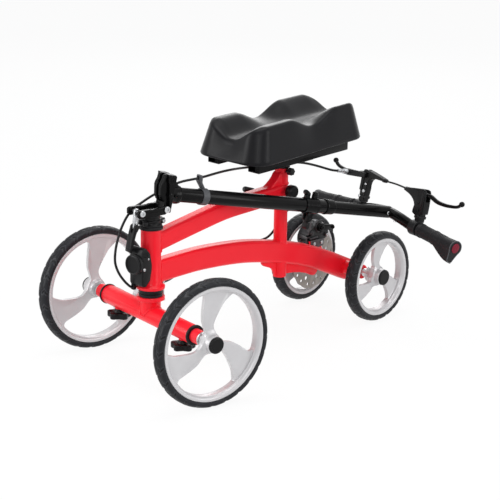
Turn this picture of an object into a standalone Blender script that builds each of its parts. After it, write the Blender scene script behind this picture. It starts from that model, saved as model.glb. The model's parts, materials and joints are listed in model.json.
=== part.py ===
# Knee walker with four wheels, a folding steering column and a height-set knee pad.
# Metres, +Z up. +X is the rider's left, -Y is forward. The origin is the middle of
# the footprint, on the floor. Modelled in its stored pose: the column is folded back
# beside the knee pad and the front wheels stand turned with it.
import bmesh
import bpy
from math import atan2, cos, degrees, pi, radians, sin
from mathutils import Matrix, Vector

# Poses
steer_turn = radians(-12.43)
column_lean = radians(12.5)
fold_swing = radians(90.0)

# Fits
gap = 0.0003
round_steps = 16
wheel_steps = 28

# Wheels
tyre_width = 0.028
tyre_shoulder = 0.0065
rim_width = 0.0256
rim_lip = 0.0095
web_thickness = 0.011
hub_radius = 0.018
hub_width = 0.032
hub_cap_radius = 0.0165
hub_cap_depth = 0.0045
axle_radius = 0.006
front_tyre_radius = 0.127
front_rim_radius = 0.1138
front_track = 0.412
rear_tyre_radius = 0.096
rear_rim_radius = 0.083
rear_track = 0.204
wheelbase = 0.584

# Front axle
axle_tube_radius = 0.019
axle_tube_wall = 0.002
axle_tube_length = 0.300
inner_tube_radius = 0.01425
inner_tube_wall = 0.002
inner_tube_hidden = 0.080
spacer_length = 0.0119
bushing_radius = 0.021
bushing_flange = 0.0055
bushing_sleeve = 0.020
spacer_radius = 0.0095
axle_knob_inset = 0.037
axle_knob_radius = 0.025
axle_knob_depth = 0.012
axle_knob_boss = 0.009
axle_knob_lobes = 5
axle_stem_radius = 0.004

# Steering head
crown_neck_radius = 0.020
crown_flange_radius = 0.026
crown_flange_low = 0.158
crown_flange_height = 0.008
steerer_radius = 0.0127
head_low = 0.181
head_high = 0.302
head_radius = 0.020
head_bore = 0.0155
head_flange_radius = 0.026
head_flange_height = 0.008
cup_radius = 0.0235
cup_spigot = 0.006
upper_cup_height = 0.006
collar_radius = 0.023
collar_height = 0.023

# Yoke and latch at the top of the steerer
yoke_height = 0.016
yoke_half_width = 0.0205
yoke_slot_half = 0.0145
yoke_front = -0.043
yoke_floor = 0.005
yoke_floor_front = -0.021
yoke_floor_rear = 0.016
pivot_forward = 0.023
pivot_drop = 0.006
pivot_radius = 0.003
latch_pin_forward = -0.034
latch_pin_radius = 0.0025
latch_link_length = 0.032
latch_link_half = 0.003
latch_eye_radius = 0.0055
latch_lean = 0.003
latch_lever_half = 0.009
latch_lever_length = 0.047
latch_lever_thick = 0.007
latch_cam_radius = 0.0068
latch_lever_bow = 0.0135

# Folding column
column_offset = -0.0275
column_radius = 0.0145
column_wall = 0.0015
column_low = 0.0125
column_high = 0.4065
plate_front = -0.068
plate_rear = 0.006
plate_top = 0.010
tongue_front = -0.040
tongue_round = 0.0055
socket_radius = 0.018
socket_top = 0.034
latch_slot_half = 0.004
latch_slot_rear = -0.0495
column_collar_radius = 0.017
column_collar_low = 0.404
column_collar_high = 0.426
clip_place = 0.1015
clip_width = 0.016
clip_radius = 0.0168
clip_post_place = 0.078
clip_post_height = 0.027
clip_post_thick = 0.006
clip_eye_radius = 0.0042
clip_eye_height = 0.0205
clamp_low = 0.350
clamp_high = 0.384
clamp_radius = 0.0178
clamp_lump_radius = 0.0065
clamp_lump_reach = 0.022
clamp_ear_reach = 0.026
clamp_ear_radius = 0.007
clamp_ear_slot_half = 0.0043
clamp_ear_half = 0.008
clamp_pin_radius = 0.002
lock_lever_length = 0.022

# Handlebar
stem_radius = 0.0127
stem_low = 0.235
bar_radius = 0.0111
bar_end = 0.222
grip_radius = 0.0142
grip_start = 0.1085
grip_end = 0.236
bracket_middle = 0.0935
bracket_ring_half = 0.010
bracket_ring_radius = 0.0158
bracket_half = 0.008
blade_half = 0.003
blade_slot_half = 0.0034
brake_pivot_radius = 0.0025
cable_radius = 0.0025
link_cable_radius = 0.002
cable_lead = 0.003
adjuster_radius = 0.0055
adjuster_length = 0.026

# Splitter box on the front of the head tube
box_half_width = 0.017
box_front = -0.0415
box_low = 0.193
box_high = 0.272
cover_radius = 0.0205
cover_depth = 0.0105

# Main frame
beam_width = 0.030
arm_width = 0.030
arm_height = 0.038
tube_corner = 0.007
seat_place = 0.385
seat_tube_radius = 0.014
seat_tube_bore = 0.0123
seat_tube_low = 0.113
seat_tube_high = 0.3525
rear_cross_radius = 0.015
rear_cross_half = 0.0625
gusset_half = 0.003

# Seat
post_radius = 0.012
post_low = 0.165
rail_inner = 0.039
rail_outer = 0.069
rail_height = 0.017
rail_front = 0.235
rail_rear = 0.514
pad_low = 0.398
pad_length = 0.348
pad_width = 0.156
pad_height = 0.076
pad_corner = 0.030
seat_pin_height = 0.305
seat_pin_radius = 0.003
seat_knob_radius = 0.014
seat_knob_near = 0.021
seat_knob_far = 0.037
seat_lever_height = 0.2875
seat_lever_near = 0.0165
seat_lever_far = 0.0345
seat_lever_radius = 0.0035
seat_lever_grip_radius = 0.0062
lever_tip_place = (0.2965, 0.318)
clamp_screw_height = 0.347
clamp_screw_radius = 0.0078
clamp_screw_near = 0.0185

# Brake
disc_radius = 0.070
disc_thickness = 0.0018
disc_place = -0.0765
disc_bore = 0.0105
disc_holes = 8
disc_hole_radius = 0.0045
disc_hole_ring = 0.047


for old in list(bpy.data.objects):
    bpy.data.objects.remove(old, do_unlink=True)


def make_material(name, red, green, blue, roughness, metallic):
    finish = bpy.data.materials.new(name)
    finish.use_nodes = True
    shader = finish.node_tree.nodes["Principled BSDF"]
    shader.inputs["Base Color"].default_value = (red, green, blue, 1.0)
    shader.inputs["Roughness"].default_value = roughness
    shader.inputs["Metallic"].default_value = metallic
    finish.diffuse_color = (red, green, blue, 1.0)
    return finish


red_paint = make_material("red_paint", 0.42, 0.012, 0.014, 0.28, 0.0)
black_paint = make_material("black_paint", 0.012, 0.012, 0.013, 0.30, 0.0)
black_plastic = make_material("black_plastic", 0.018, 0.018, 0.019, 0.48, 0.0)
grey_plastic = make_material("grey_plastic", 0.24, 0.24, 0.25, 0.5, 0.0)
rim_paint = make_material("silver_paint", 0.42, 0.42, 0.43, 0.38, 0.4)
tyre_rubber = make_material("tyre_rubber", 0.022, 0.022, 0.023, 0.75, 0.0)
steel = make_material("bright_steel", 0.62, 0.62, 0.62, 0.25, 1.0)
disc_steel = make_material("disc_steel", 0.45, 0.42, 0.40, 0.35, 1.0)
pad_skin = make_material("pad_skin", 0.014, 0.014, 0.015, 0.55, 0.0)
cable_skin = make_material("cable_skin", 0.010, 0.010, 0.010, 0.4, 0.0)


def add_empty(name, parent=None, location=(0.0, 0.0, 0.0), rotation=(0.0, 0.0, 0.0)):
    marker = bpy.data.objects.new(name, None)
    bpy.context.collection.objects.link(marker)
    marker.parent = parent
    marker.location = location
    marker.rotation_euler = rotation
    marker.empty_display_size = 0.03
    return marker


def face_outward(shape):
    bmesh.ops.recalc_face_normals(shape, faces=shape.faces)
    if shape.calc_volume(signed=True) < 0.0:
        bmesh.ops.reverse_faces(shape, faces=shape.faces)


def add_piece(name, shape, finish, parent, location=(0.0, 0.0, 0.0)):
    mesh = bpy.data.meshes.new(name)
    face_outward(shape)
    shape.to_mesh(mesh)
    shape.free()
    mesh.materials.append(finish)
    mesh.shade_smooth()
    mesh.set_sharp_from_angle(angle=radians(38.0))
    piece = bpy.data.objects.new(name, mesh)
    bpy.context.collection.objects.link(piece)
    piece.parent = parent
    piece.location = location
    return piece


def copy_piece(name, source, parent, location=(0.0, 0.0, 0.0), rotation=(0.0, 0.0, 0.0)):
    piece = bpy.data.objects.new(name, source.data)
    bpy.context.collection.objects.link(piece)
    piece.parent = parent
    piece.location = location
    piece.rotation_euler = rotation
    for modifier in source.modifiers:
        twin = piece.modifiers.new(modifier.name, "BOOLEAN")
        twin.operation = modifier.operation
        twin.solver = modifier.solver
        operand = bpy.data.objects.new(name + "_guide", modifier.object.data)
        bpy.context.collection.objects.link(operand)
        operand.parent = piece
        operand.hide_render = True
        operand.display_type = "WIRE"
        twin.object = operand
    return piece


def shape_with(piece, shape, operation):
    # A helper solid that the piece joins or is cut by. It shares the piece's place.
    mesh = bpy.data.meshes.new(piece.name + "_helper")
    face_outward(shape)
    shape.to_mesh(mesh)
    shape.free()
    mesh.materials.append(piece.data.materials[0])
    mesh.shade_smooth()
    mesh.set_sharp_from_angle(angle=radians(38.0))
    helper = bpy.data.objects.new(piece.name + "_helper", mesh)
    bpy.context.collection.objects.link(helper)
    helper.parent = piece
    helper.hide_render = True
    helper.display_type = "WIRE"
    modifier = piece.modifiers.new(operation.lower(), "BOOLEAN")
    modifier.operation = operation
    modifier.solver = "EXACT"
    modifier.object = helper
    return helper


def join(piece, *shapes):
    for shape in shapes:
        shape_with(piece, shape, "UNION")


def cut(piece, *shapes):
    for shape in shapes:
        shape_with(piece, shape, "DIFFERENCE")


def axis_matrix(axis):
    # Turns the +Z of a turned shape onto the named direction.
    if axis == "X":
        return Matrix.Rotation(pi / 2, 4, "Y")
    if axis == "Y":
        return Matrix.Rotation(-pi / 2, 4, "X")
    return Matrix.Identity(4)


def turned(profile, axis="Z", steps=round_steps, centre=(0.0, 0.0, 0.0)):
    # The profile is (radius, height) points. A profile that starts and ends on the
    # axis is a solid, any other is closed into a ring.
    shape = bmesh.new()
    points = [shape.verts.new((radius, 0.0, height)) for radius, height in profile]
    edges = [shape.edges.new(pair) for pair in zip(points, points[1:])]
    if profile[0][0] > 0.0 or profile[-1][0] > 0.0:
        edges.append(shape.edges.new((points[-1], points[0])))
    bmesh.ops.spin(shape, geom=points + edges, cent=(0.0, 0.0, 0.0), axis=(0.0, 0.0, 1.0),
                   angle=2 * pi, steps=steps, use_merge=True)
    bmesh.ops.remove_doubles(shape, verts=shape.verts, dist=0.000001)
    shape.transform(Matrix.Translation(centre) @ axis_matrix(axis))
    return shape


def rod(radius, low, high, axis="Z", steps=round_steps, centre=(0.0, 0.0, 0.0)):
    return turned([(0.0, low), (radius, low), (radius, high), (0.0, high)],
                  axis, steps, centre)


def pipe(outer, inner, low, high, axis="Z", steps=round_steps, centre=(0.0, 0.0, 0.0)):
    return turned([(outer, low), (outer, high), (inner, high), (inner, low)],
                  axis, steps, centre)


def prism(outline, low, high, axis="X"):
    # A flat outline pushed along one axis. Its two numbers are the other two
    # coordinates in x, y, z order.
    place = {"X": lambda a, b, d: (d, a, b), "Y": lambda a, b, d: (a, d, b),
             "Z": lambda a, b, d: (a, b, d)}[axis]
    shape = bmesh.new()
    bottom = [shape.verts.new(place(a, b, low)) for a, b in outline]
    face = shape.faces.new(bottom)
    grown = bmesh.ops.extrude_face_region(shape, geom=[face])
    raised = [item for item in grown["geom"] if isinstance(item, bmesh.types.BMVert)]
    bmesh.ops.translate(shape, verts=raised, vec=place(0.0, 0.0, high - low))
    return shape


def block(low, high):
    outline = [(low[1], low[2]), (high[1], low[2]), (high[1], high[2]), (low[1], high[2])]
    return prism(outline, low[0], high[0], "X")


def arc(centre, radius, start, end, steps=8):
    # Points on an arc, angles in degrees.
    turn = (end - start) / steps
    return [(centre[0] + radius * cos(radians(start + turn * step)),
             centre[1] + radius * sin(radians(start + turn * step)))
            for step in range(steps + 1)]


def rounded_rectangle(width, height, corner, steps=3):
    across, along = width / 2 - corner, height / 2 - corner
    points = []
    for sign_x, sign_y, start in ((1, 1, 0), (-1, 1, 90), (-1, -1, 180), (1, -1, 270)):
        points += arc((sign_x * across, sign_y * along), corner, start, start + 90, steps)
    return points


def loft(rings):
    shape = bmesh.new()
    rows = [[shape.verts.new(point) for point in ring] for ring in rings]
    count = len(rows[0])
    for lower, upper in zip(rows, rows[1:]):
        for index in range(count):
            following = (index + 1) % count
            shape.faces.new((lower[index], lower[following], upper[following], upper[index]))
    shape.faces.new(list(reversed(rows[0])))
    shape.faces.new(rows[-1])
    return shape


def smooth_route(points, spacing):
    # A smooth curve through the points, read off at an even spacing.
    knots = [Vector(point) for point in points]
    ends = [2 * knots[0] - knots[1]] + knots + [2 * knots[-1] - knots[-2]]
    dense = []
    for index in range(1, len(ends) - 2):
        before, start, end, after = ends[index - 1:index + 3]
        times = [0.0]
        for left, right in ((before, start), (start, end), (end, after)):
            times.append(times[-1] + (right - left).length ** 0.5)
        for step in range(20):
            time = times[1] + (times[2] - times[1]) * step / 20
            first = before.lerp(start, (time - times[0]) / (times[1] - times[0]))
            second = start.lerp(end, (time - times[1]) / (times[2] - times[1]))
            third = end.lerp(after, (time - times[2]) / (times[3] - times[2]))
            near = first.lerp(second, (time - times[0]) / (times[2] - times[0]))
            far = second.lerp(third, (time - times[1]) / (times[3] - times[1]))
            dense.append(near.lerp(far, (time - times[1]) / (times[2] - times[1])))
    dense.append(knots[-1])
    lengths = [0.0]
    for left, right in zip(dense, dense[1:]):
        lengths.append(lengths[-1] + (right - left).length)
    count = max(2, round(lengths[-1] / spacing))
    route, index = [], 0
    for step in range(count + 1):
        target = lengths[-1] * step / count
        while index < len(lengths) - 2 and lengths[index + 1] < target:
            index += 1
        share = (target - lengths[index]) / (lengths[index + 1] - lengths[index])
        route.append(dense[index].lerp(dense[index + 1], min(1.0, share)))
    return route


def add_cable(name, points, radius, parent, finish, spacing=None):
    curve = bpy.data.curves.new(name, "CURVE")
    curve.dimensions = "3D"
    curve.bevel_depth = radius
    curve.bevel_resolution = 2
    curve.use_fill_caps = True
    route = smooth_route(points, spacing or radius * 6.6)
    # Each end runs straight for a little, so that its face is square to its seat.
    for end, near, index in ((0, 1, 1), (-1, -2, -1)):
        first, second = Vector(points[end]), Vector(points[near])
        route.insert(index, first + (second - first).normalized() * cable_lead)
    spline = curve.splines.new("POLY")
    spline.points.add(len(route) - 1)
    for point, place in zip(spline.points, route):
        point.co = (place.x, place.y, place.z, 1.0)
    curve.materials.append(finish)
    cable = bpy.data.objects.new(name, curve)
    bpy.context.collection.objects.link(cable)
    cable.parent = parent
    return cable


walker = add_empty("walker")
steering = add_empty("steering_axis", walker, rotation=(0.0, 0.0, steer_turn))


# Wheels: each stands on its own axle centre, with its outer face at local +X
def wheel_windows(rim_radius):
    # The three windows between the swirled spokes, drawn as seen from +X.
    inner = hub_radius + 0.009
    edge_out = [(113.0, 0.44), (106.0, 0.58), (102.0, 0.70), (99.5, 0.86)]
    edge_back = [(183.0, 0.86), (188.0, 0.72), (191.0, 0.60), (195.0, 0.42)]
    foot = [(187.0, 0.31), (170.0, inner / rim_radius), (140.0, inner / rim_radius),
            (122.0, 0.33)]
    reach = 1.0 - (rim_lip + 0.0006) / rim_radius
    crown = [(100.0 + 82.0 * step / 5, reach) for step in range(6)]
    outline = edge_out + crown + edge_back + foot
    windows = []
    for turn in (0.0, 120.0, 240.0):
        points = [(rim_radius * share * cos(radians(angle + turn)),
                   rim_radius * share * sin(radians(angle + turn)))
                  for angle, share in outline]
        windows.append(prism(points, -rim_width, rim_width, "X"))
    return windows


def rim_shape(rim_radius, hub_inner, hub_outer, steps):
    bore = axle_radius + gap
    lip = rim_radius - rim_lip
    half, web = rim_width / 2, web_thickness / 2
    return turned([(bore, hub_inner), (hub_radius, hub_inner), (hub_radius, -web),
                   (lip, -web), (lip + 0.002, -half), (rim_radius, -half),
                   (rim_radius, half), (lip + 0.002, half), (lip, web),
                   (hub_radius, web), (hub_radius, hub_outer), (bore, hub_outer)],
                  "X", steps)


def tyre_shape(rim_radius, tyre_radius, steps):
    seat = rim_radius + gap
    half = tyre_width / 2
    crown = tyre_radius - tyre_shoulder
    half_profile = [(seat, half - 0.0016), (crown, half), (tyre_radius - 0.0016, half - 0.004),
                    (tyre_radius, half - 0.009)]
    other_half = [(radius, -side) for radius, side in reversed(half_profile)]
    return turned(half_profile + other_half, "X", steps)


def cap_shape(hub_outer):
    low = hub_outer + gap
    return turned([(0.0, low), (hub_cap_radius, low), (hub_cap_radius, low + 0.0025),
                   (hub_cap_radius - 0.003, low + hub_cap_depth), (0.0, low + hub_cap_depth)],
                  "X")


def add_wheel(label, side, rim_radius, tyre_radius, hub_inner, parent, place):
    # side is 1 on the rider's left and -1 on the right, where the wheel is turned round
    # its own axle so that the outer face looks away from the frame.
    axle = add_empty(label + "_spin", parent, place,
                     (0.0, 0.0, 0.0 if side > 0 else pi))
    rim = add_piece(label + "_rim", rim_shape(rim_radius, hub_inner, hub_width / 2, wheel_steps),
                    rim_paint, axle)
    windows = wheel_windows(rim_radius)
    if side < 0:
        for window in windows:
            window.transform(Matrix.Rotation(pi, 4, "Z"))
    cut(rim, *windows)
    add_piece(label + "_tire", tyre_shape(rim_radius, tyre_radius, wheel_steps),
              tyre_rubber, axle)
    add_piece(label + "_hub_cap", cap_shape(hub_width / 2), black_plastic, axle)
    return axle


# Front wheels and the sliding half axles
front_axle_height = front_tyre_radius
wheel_middle = front_track / 2
bushing_start = axle_tube_length / 2 + gap
bushing_end = bushing_start + bushing_flange
hub_start = hub_width / 2
spacer_end = wheel_middle - hub_start - gap
inner_end = spacer_end - spacer_length
axle_knob_place = axle_tube_length / 2 - axle_knob_inset
for label, side in (("left", 1), ("right", -1)):
    slider = add_empty(label + "_axle_slide", steering, (0.0, 0.0, front_axle_height),
                       (0.0, 0.0, 0.0 if side > 0 else pi))
    inner_start = axle_tube_length / 2 - inner_tube_hidden
    inner_bore = inner_tube_radius - inner_tube_wall
    add_piece(label + "_inner_axle_tube",
              pipe(inner_tube_radius, inner_bore, inner_start, inner_end, "X"),
              red_paint, slider)
    plug = inner_bore - gap
    spindle = turned([(0.0, inner_end - 0.015), (plug, inner_end - 0.015), (plug, inner_end + gap),
                      (inner_tube_radius, inner_end + gap),
                      (inner_tube_radius, inner_end + 0.003),
                      (spacer_radius, inner_end + 0.0035), (spacer_radius, spacer_end),
                      (axle_radius, spacer_end), (axle_radius, wheel_middle + hub_start - 0.001),
                      (0.0, wheel_middle + hub_start - 0.001)], "X")
    add_piece(label + "_wheel_spindle", spindle, steel, slider)
    add_wheel("front_" + label, side, front_rim_radius, front_tyre_radius, -hub_start, steering,
              (side * wheel_middle, 0.0, front_axle_height))

# Steering crossmember: axle tube, crown and steerer in one welded piece
crown_top = crown_flange_low + crown_flange_height
yoke_low = head_high + upper_cup_height + collar_height
crossmember = add_piece("front_axle_crossmember",
                        pipe(axle_tube_radius, axle_tube_radius - axle_tube_wall,
                             -axle_tube_length / 2, axle_tube_length / 2, "X",
                             centre=(0.0, 0.0, front_axle_height)), red_paint, steering)
join(crossmember, turned([(0.0, front_axle_height), (crown_neck_radius, front_axle_height),
                          (crown_neck_radius, crown_flange_low),
                          (crown_flange_radius, crown_flange_low),
                          (crown_flange_radius, crown_top), (steerer_radius, crown_top),
                          (steerer_radius, yoke_low - gap), (0.0, yoke_low - gap)]))
for side in (1, -1):
    cut(crossmember, rod(axle_stem_radius + gap, front_axle_height - axle_tube_radius - 0.002,
                         front_axle_height - axle_tube_radius + axle_tube_wall + 0.002,
                         steps=12, centre=(side * axle_knob_place, 0.0, 0.0)))

# Bushings at the ends of the axle tube
bore = inner_tube_radius + gap
sleeve = axle_tube_radius - axle_tube_wall - gap
left_bushing = add_piece("left_axle_bushing",
                         turned([(bore, bushing_start - bushing_sleeve),
                                 (sleeve, bushing_start - bushing_sleeve),
                                 (sleeve, bushing_start), (bushing_radius, bushing_start),
                                 (bushing_radius, bushing_end - 0.001),
                                 (bushing_radius - 0.001, bushing_end), (bore, bushing_end)],
                                "X"), black_plastic, steering, (0.0, 0.0, front_axle_height))
copy_piece("right_axle_bushing", left_bushing, steering, (0.0, 0.0, front_axle_height),
           (0.0, 0.0, pi))


# Lobed hand screws under the axle tube
def lobed_outline(radius, lobes, depth, steps):
    return [((radius - depth * (0.5 - 0.5 * cos(lobes * 2 * pi * step / steps)))
             * cos(2 * pi * step / steps),
             (radius - depth * (0.5 - 0.5 * cos(lobes * 2 * pi * step / steps)))
             * sin(2 * pi * step / steps)) for step in range(steps)]


knob_top = front_axle_height - axle_tube_radius - axle_knob_boss + 0.002
stem_top = front_axle_height - inner_tube_radius - gap
axle_knobs = []
for label, side in (("left", 1), ("right", -1)):
    turn = add_empty(label + "_axle_knob_turn", steering,
                     (side * axle_knob_place, 0.0, front_axle_height))
    knob = add_piece(label + "_axle_knob",
                     prism(lobed_outline(axle_knob_radius, axle_knob_lobes, 0.006, 30),
                           knob_top - axle_knob_depth - front_axle_height,
                           knob_top - front_axle_height, "Z"), black_plastic, turn)
    boss_top = -axle_tube_radius - gap - 0.0005
    join(knob, turned([(0.0, knob_top - 0.004 - front_axle_height),
                       (0.012, knob_top - 0.004 - front_axle_height),
                       (0.009, boss_top), (axle_stem_radius, boss_top),
                       (axle_stem_radius, stem_top - front_axle_height),
                       (0.0, stem_top - front_axle_height)], steps=16))
    axle_knobs.append(knob)

# Bearing cups, lock collar and yoke
cup_bore = steerer_radius + gap
spigot = head_bore - gap
add_piece("lower_headset_cup",
          turned([(cup_bore, crown_top + gap), (cup_radius, crown_top + gap),
                  (cup_radius, head_low - gap), (spigot, head_low - gap),
                  (spigot, head_low + cup_spigot), (cup_bore, head_low + cup_spigot)]),
          black_plastic, walker)
add_piece("upper_headset_cup",
          turned([(cup_bore, head_high - cup_spigot), (spigot, head_high - cup_spigot),
                  (spigot, head_high + gap), (cup_radius, head_high + gap),
                  (cup_radius - 0.001, head_high + upper_cup_height),
                  (cup_bore, head_high + upper_cup_height)]), black_plastic, walker)
collar_low = head_high + upper_cup_height + gap
collar = add_piece("headset_lock_collar",
                   turned([(cup_bore, collar_low), (collar_radius, collar_low),
                           (collar_radius, yoke_low - gap), (cup_bore, yoke_low - gap)]),
                   black_plastic, steering)
cut(collar, block((-0.0008, steerer_radius - 0.001, collar_low - 0.001),
                  (0.0008, collar_radius + 0.002, yoke_low)))

yoke_top = yoke_low + yoke_height
pivot_height = yoke_top - pivot_drop
yoke_outline = ([(yoke_front + 0.004, yoke_low), (pivot_forward - 0.004, yoke_low + 0.0005)]
                + arc((pivot_forward, pivot_height), pivot_drop, -60, 90, 6)
                + arc((yoke_front + 0.005, yoke_top - 0.005), 0.005, 90, 180, 4)
                + [(yoke_front, yoke_low + 0.004)])
yoke = add_piece("steering_yoke", prism(yoke_outline, -yoke_half_width, yoke_half_width, "X"),
                 black_paint, steering)
cut(yoke,
    block((-yoke_slot_half, yoke_front - 0.01, yoke_low + yoke_floor),
          (yoke_slot_half, pivot_forward + 0.02, yoke_top + 0.01)),
    block((-yoke_slot_half, yoke_front - 0.01, yoke_low - 0.01),
          (yoke_slot_half, yoke_floor_front, yoke_top + 0.01)),
    block((-yoke_slot_half, yoke_floor_rear, yoke_low - 0.01),
          (yoke_slot_half, pivot_forward + 0.02, yoke_top + 0.01)),
    rod(pivot_radius + gap, -0.03, 0.03, "X", 16, (0.0, pivot_forward, pivot_height)),
    rod(latch_pin_radius + gap, -0.03, 0.03, "X", 16, (0.0, latch_pin_forward, pivot_height)))


def add_pin(name, radius, head_radius, place):
    reach = yoke_half_width + gap
    profile = [(0.0, -reach - 0.003), (head_radius, -reach - 0.003), (head_radius, -reach),
               (radius, -reach), (radius, reach), (head_radius, reach),
               (head_radius, reach + 0.0025), (0.0, reach + 0.0025)]
    return add_piece(name, turned(profile, "X", 16, place), steel, steering)


add_pin("fold_pivot_bolt", pivot_radius, 0.0052, (0.0, pivot_forward, pivot_height))
add_pin("latch_pin", latch_pin_radius, 0.005, (0.0, latch_pin_forward, pivot_height))

# Latch: a swinging link on the front pin and a cam lever at its end
link_swing = add_empty("latch_link_swing", steering, (0.0, latch_pin_forward, pivot_height))
link_end = Vector((0.0, -latch_lean, -latch_link_length))
link_angle = degrees(atan2(link_end.z, link_end.y))
link_outline = (arc((0.0, 0.0), latch_eye_radius, link_angle + 90, link_angle + 270, 8)
                + arc((link_end.y, link_end.z), latch_eye_radius - 0.0007,
                      link_angle - 90, link_angle + 90, 8))
latch_link = add_piece("latch_link", prism(link_outline, -latch_link_half, latch_link_half, "X"),
                       steel, link_swing)
cut(latch_link,
    rod(latch_pin_radius + gap, -0.01, 0.01, "X", 12),
    rod(latch_pin_radius + gap, -0.01, 0.01, "X", 12, (0.0, link_end.y, link_end.z)))
lever_swing = add_empty("latch_lever_swing", link_swing, link_end)
lever_tip = (-latch_lever_bow, -latch_lever_length)
lever_outline = (arc((0.0, 0.0), latch_cam_radius, 20, 180, 8)
                 + [(-latch_cam_radius - 0.0035, -0.012), (lever_tip[0] - latch_lever_thick / 2,
                    lever_tip[1] + 0.004), (lever_tip[0] - 0.002, lever_tip[1]),
                    (lever_tip[0] + 0.001, lever_tip[1] + 0.0005),
                    (lever_tip[0] + latch_lever_thick / 2, lever_tip[1] + 0.007),
                    (-0.002, -0.010)])
latch_lever = add_piece("latch_lever",
                        prism(lever_outline, -latch_lever_half, latch_lever_half, "X"),
                        black_plastic, lever_swing)
fork = latch_link_half + gap
cut(latch_lever, block((-fork, -0.0112, -0.0085), (fork, 0.02, 0.02)))
join(latch_lever, rod(latch_pin_radius, -latch_lever_half + 0.001, latch_lever_half - 0.001,
                      "X", 12))


# Folding column, drawn raised: local Y is rearward and local Z runs up the column
fold = add_empty("column_fold", steering, (0.0, pivot_forward, pivot_height),
                 (-(column_lean + fold_swing), 0.0, 0.0))
to_fold = (Matrix.Translation((0.0, pivot_forward, pivot_height))
           @ Matrix.Rotation(-(column_lean + fold_swing), 4, "X")).inverted()


def folded(x, y, z):
    # A point given in the stored pose, in the turned steering frame, seen from the column.
    return to_fold @ Vector((x, y, z))


def plate_underside(back):
    # The face that lies flat on the yoke once the column is raised.
    return (pivot_drop + gap + back * sin(column_lean)) / cos(column_lean)


block_outline = [(plate_front, plate_underside(plate_front)),
                 (plate_rear, plate_underside(plate_rear)), (plate_rear, plate_top),
                 (plate_front + 0.002, plate_top), (plate_front, plate_top - 0.002)]
fold_block = add_piece("fold_block",
                       prism(block_outline, -yoke_half_width, yoke_half_width, "X"),
                       black_paint, fold)
tongue_half = yoke_slot_half - 0.0005
tongue_top = plate_top - 0.001
tongue_outline = ([(tongue_front, tongue_top), (tongue_front, -0.004)]
                  + arc((0.0, 0.0), tongue_round, 250, 360, 6) + [(tongue_round, tongue_top)])
column_centre = (0.0, column_offset, 0.0)
join(fold_block, prism(tongue_outline, -tongue_half, tongue_half, "X"),
     rod(socket_radius, plate_top - 0.002, socket_top, centre=column_centre))
cut(fold_block,
    rod(column_radius + gap, column_low - gap, socket_top + 0.01, centre=column_centre),
    block((-latch_slot_half, plate_front - 0.01, -0.02),
          (latch_slot_half, latch_slot_rear, plate_top + 0.01)),
    rod(pivot_radius + gap, -0.03, 0.03, "X", 16))

add_piece("column_tube", pipe(column_radius, column_radius - column_wall, column_low,
                              column_high, centre=column_centre), black_paint, fold)
sleeve_bore = column_radius + gap
add_piece("column_collar",
          turned([(sleeve_bore, column_collar_low), (column_collar_radius, column_collar_low),
                  (column_collar_radius, column_collar_high - 0.002),
                  (column_collar_radius - 0.002, column_collar_high),
                  (stem_radius + gap, column_collar_high),
                  (stem_radius + gap, column_high + gap), (sleeve_bore, column_high + gap)],
                 centre=column_centre), black_plastic, fold)

# Cable clip: a band round the column with a leaning post and an eye for the cable
cable_clip = add_piece("cable_clip",
                       pipe(clip_radius, sleeve_bore, clip_place - clip_width / 2,
                            clip_place + clip_width / 2, centre=column_centre),
                       grey_plastic, fold)
clip_low = clip_place - clip_width / 2
eye_back = column_offset - column_radius - clip_eye_height - 0.0015
post_top = column_offset - column_radius - clip_post_height - 0.0015
post_half = clip_post_thick / 2
post_outline = [(column_offset - sleeve_bore - 0.0005, clip_low + 0.001),
                (column_offset - sleeve_bore - 0.0005, clip_low + 0.007),
                (eye_back + 0.007, clip_post_place + post_half + 0.001),
                (post_top, clip_post_place + post_half),
                (post_top, clip_post_place - post_half),
                (eye_back + 0.007, clip_post_place - post_half)]
join(cable_clip, prism(post_outline, -clip_post_thick, clip_post_thick, "X"))
cut(cable_clip, rod(clip_eye_radius, clip_post_place - 0.02, clip_post_place + 0.02, "Z", 16,
                    (0.0, eye_back, 0.0)))

# Clamp and quick lever for the handlebar height
column_clamp = add_piece("column_clamp",
                         pipe(clamp_radius, sleeve_bore, clamp_low, clamp_high,
                              centre=column_centre), black_plastic, fold)
lump_low, lump_high = clamp_low + 0.0065, clamp_high - 0.0065
for height in (lump_low, lump_high):
    join(column_clamp, rod(clamp_lump_radius, -clamp_lump_reach, -sleeve_bore - 0.001, "Y", 16,
                           (0.0, column_offset, height)))
ear_back = column_offset + clamp_ear_reach
ear_height = (clamp_low + clamp_high) / 2
ear_outline = ([(column_offset + sleeve_bore + 0.001, ear_height - clamp_ear_radius),
                (ear_back, ear_height - clamp_ear_radius)]
               + arc((ear_back, ear_height), clamp_ear_radius, -60, 60, 5)
               + [(ear_back, ear_height + clamp_ear_radius),
                  (column_offset + sleeve_bore + 0.001, ear_height + clamp_ear_radius)])
for side in (1, -1):
    low, high = sorted((side * clamp_ear_slot_half, side * clamp_ear_half))
    join(column_clamp, prism(ear_outline, low, high, "X"))
cut(column_clamp, rod(clamp_pin_radius + gap, -0.02, 0.02, "X", 12,
                      (0.0, ear_back, ear_height)))
lock_swing = add_empty("column_lock_swing", fold, (0.0, ear_back, ear_height))
lever_root = clamp_ear_slot_half - gap
lock_lever = add_piece("column_lock_lever",
                       prism(arc((0.0, 0.0), 0.0042, 90, 270, 6)
                             + [(clamp_ear_radius + 0.004, -0.004),
                                (clamp_ear_radius + 0.004, 0.004)],
                             -lever_root, lever_root, "X"), black_plastic, lock_swing)
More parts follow.
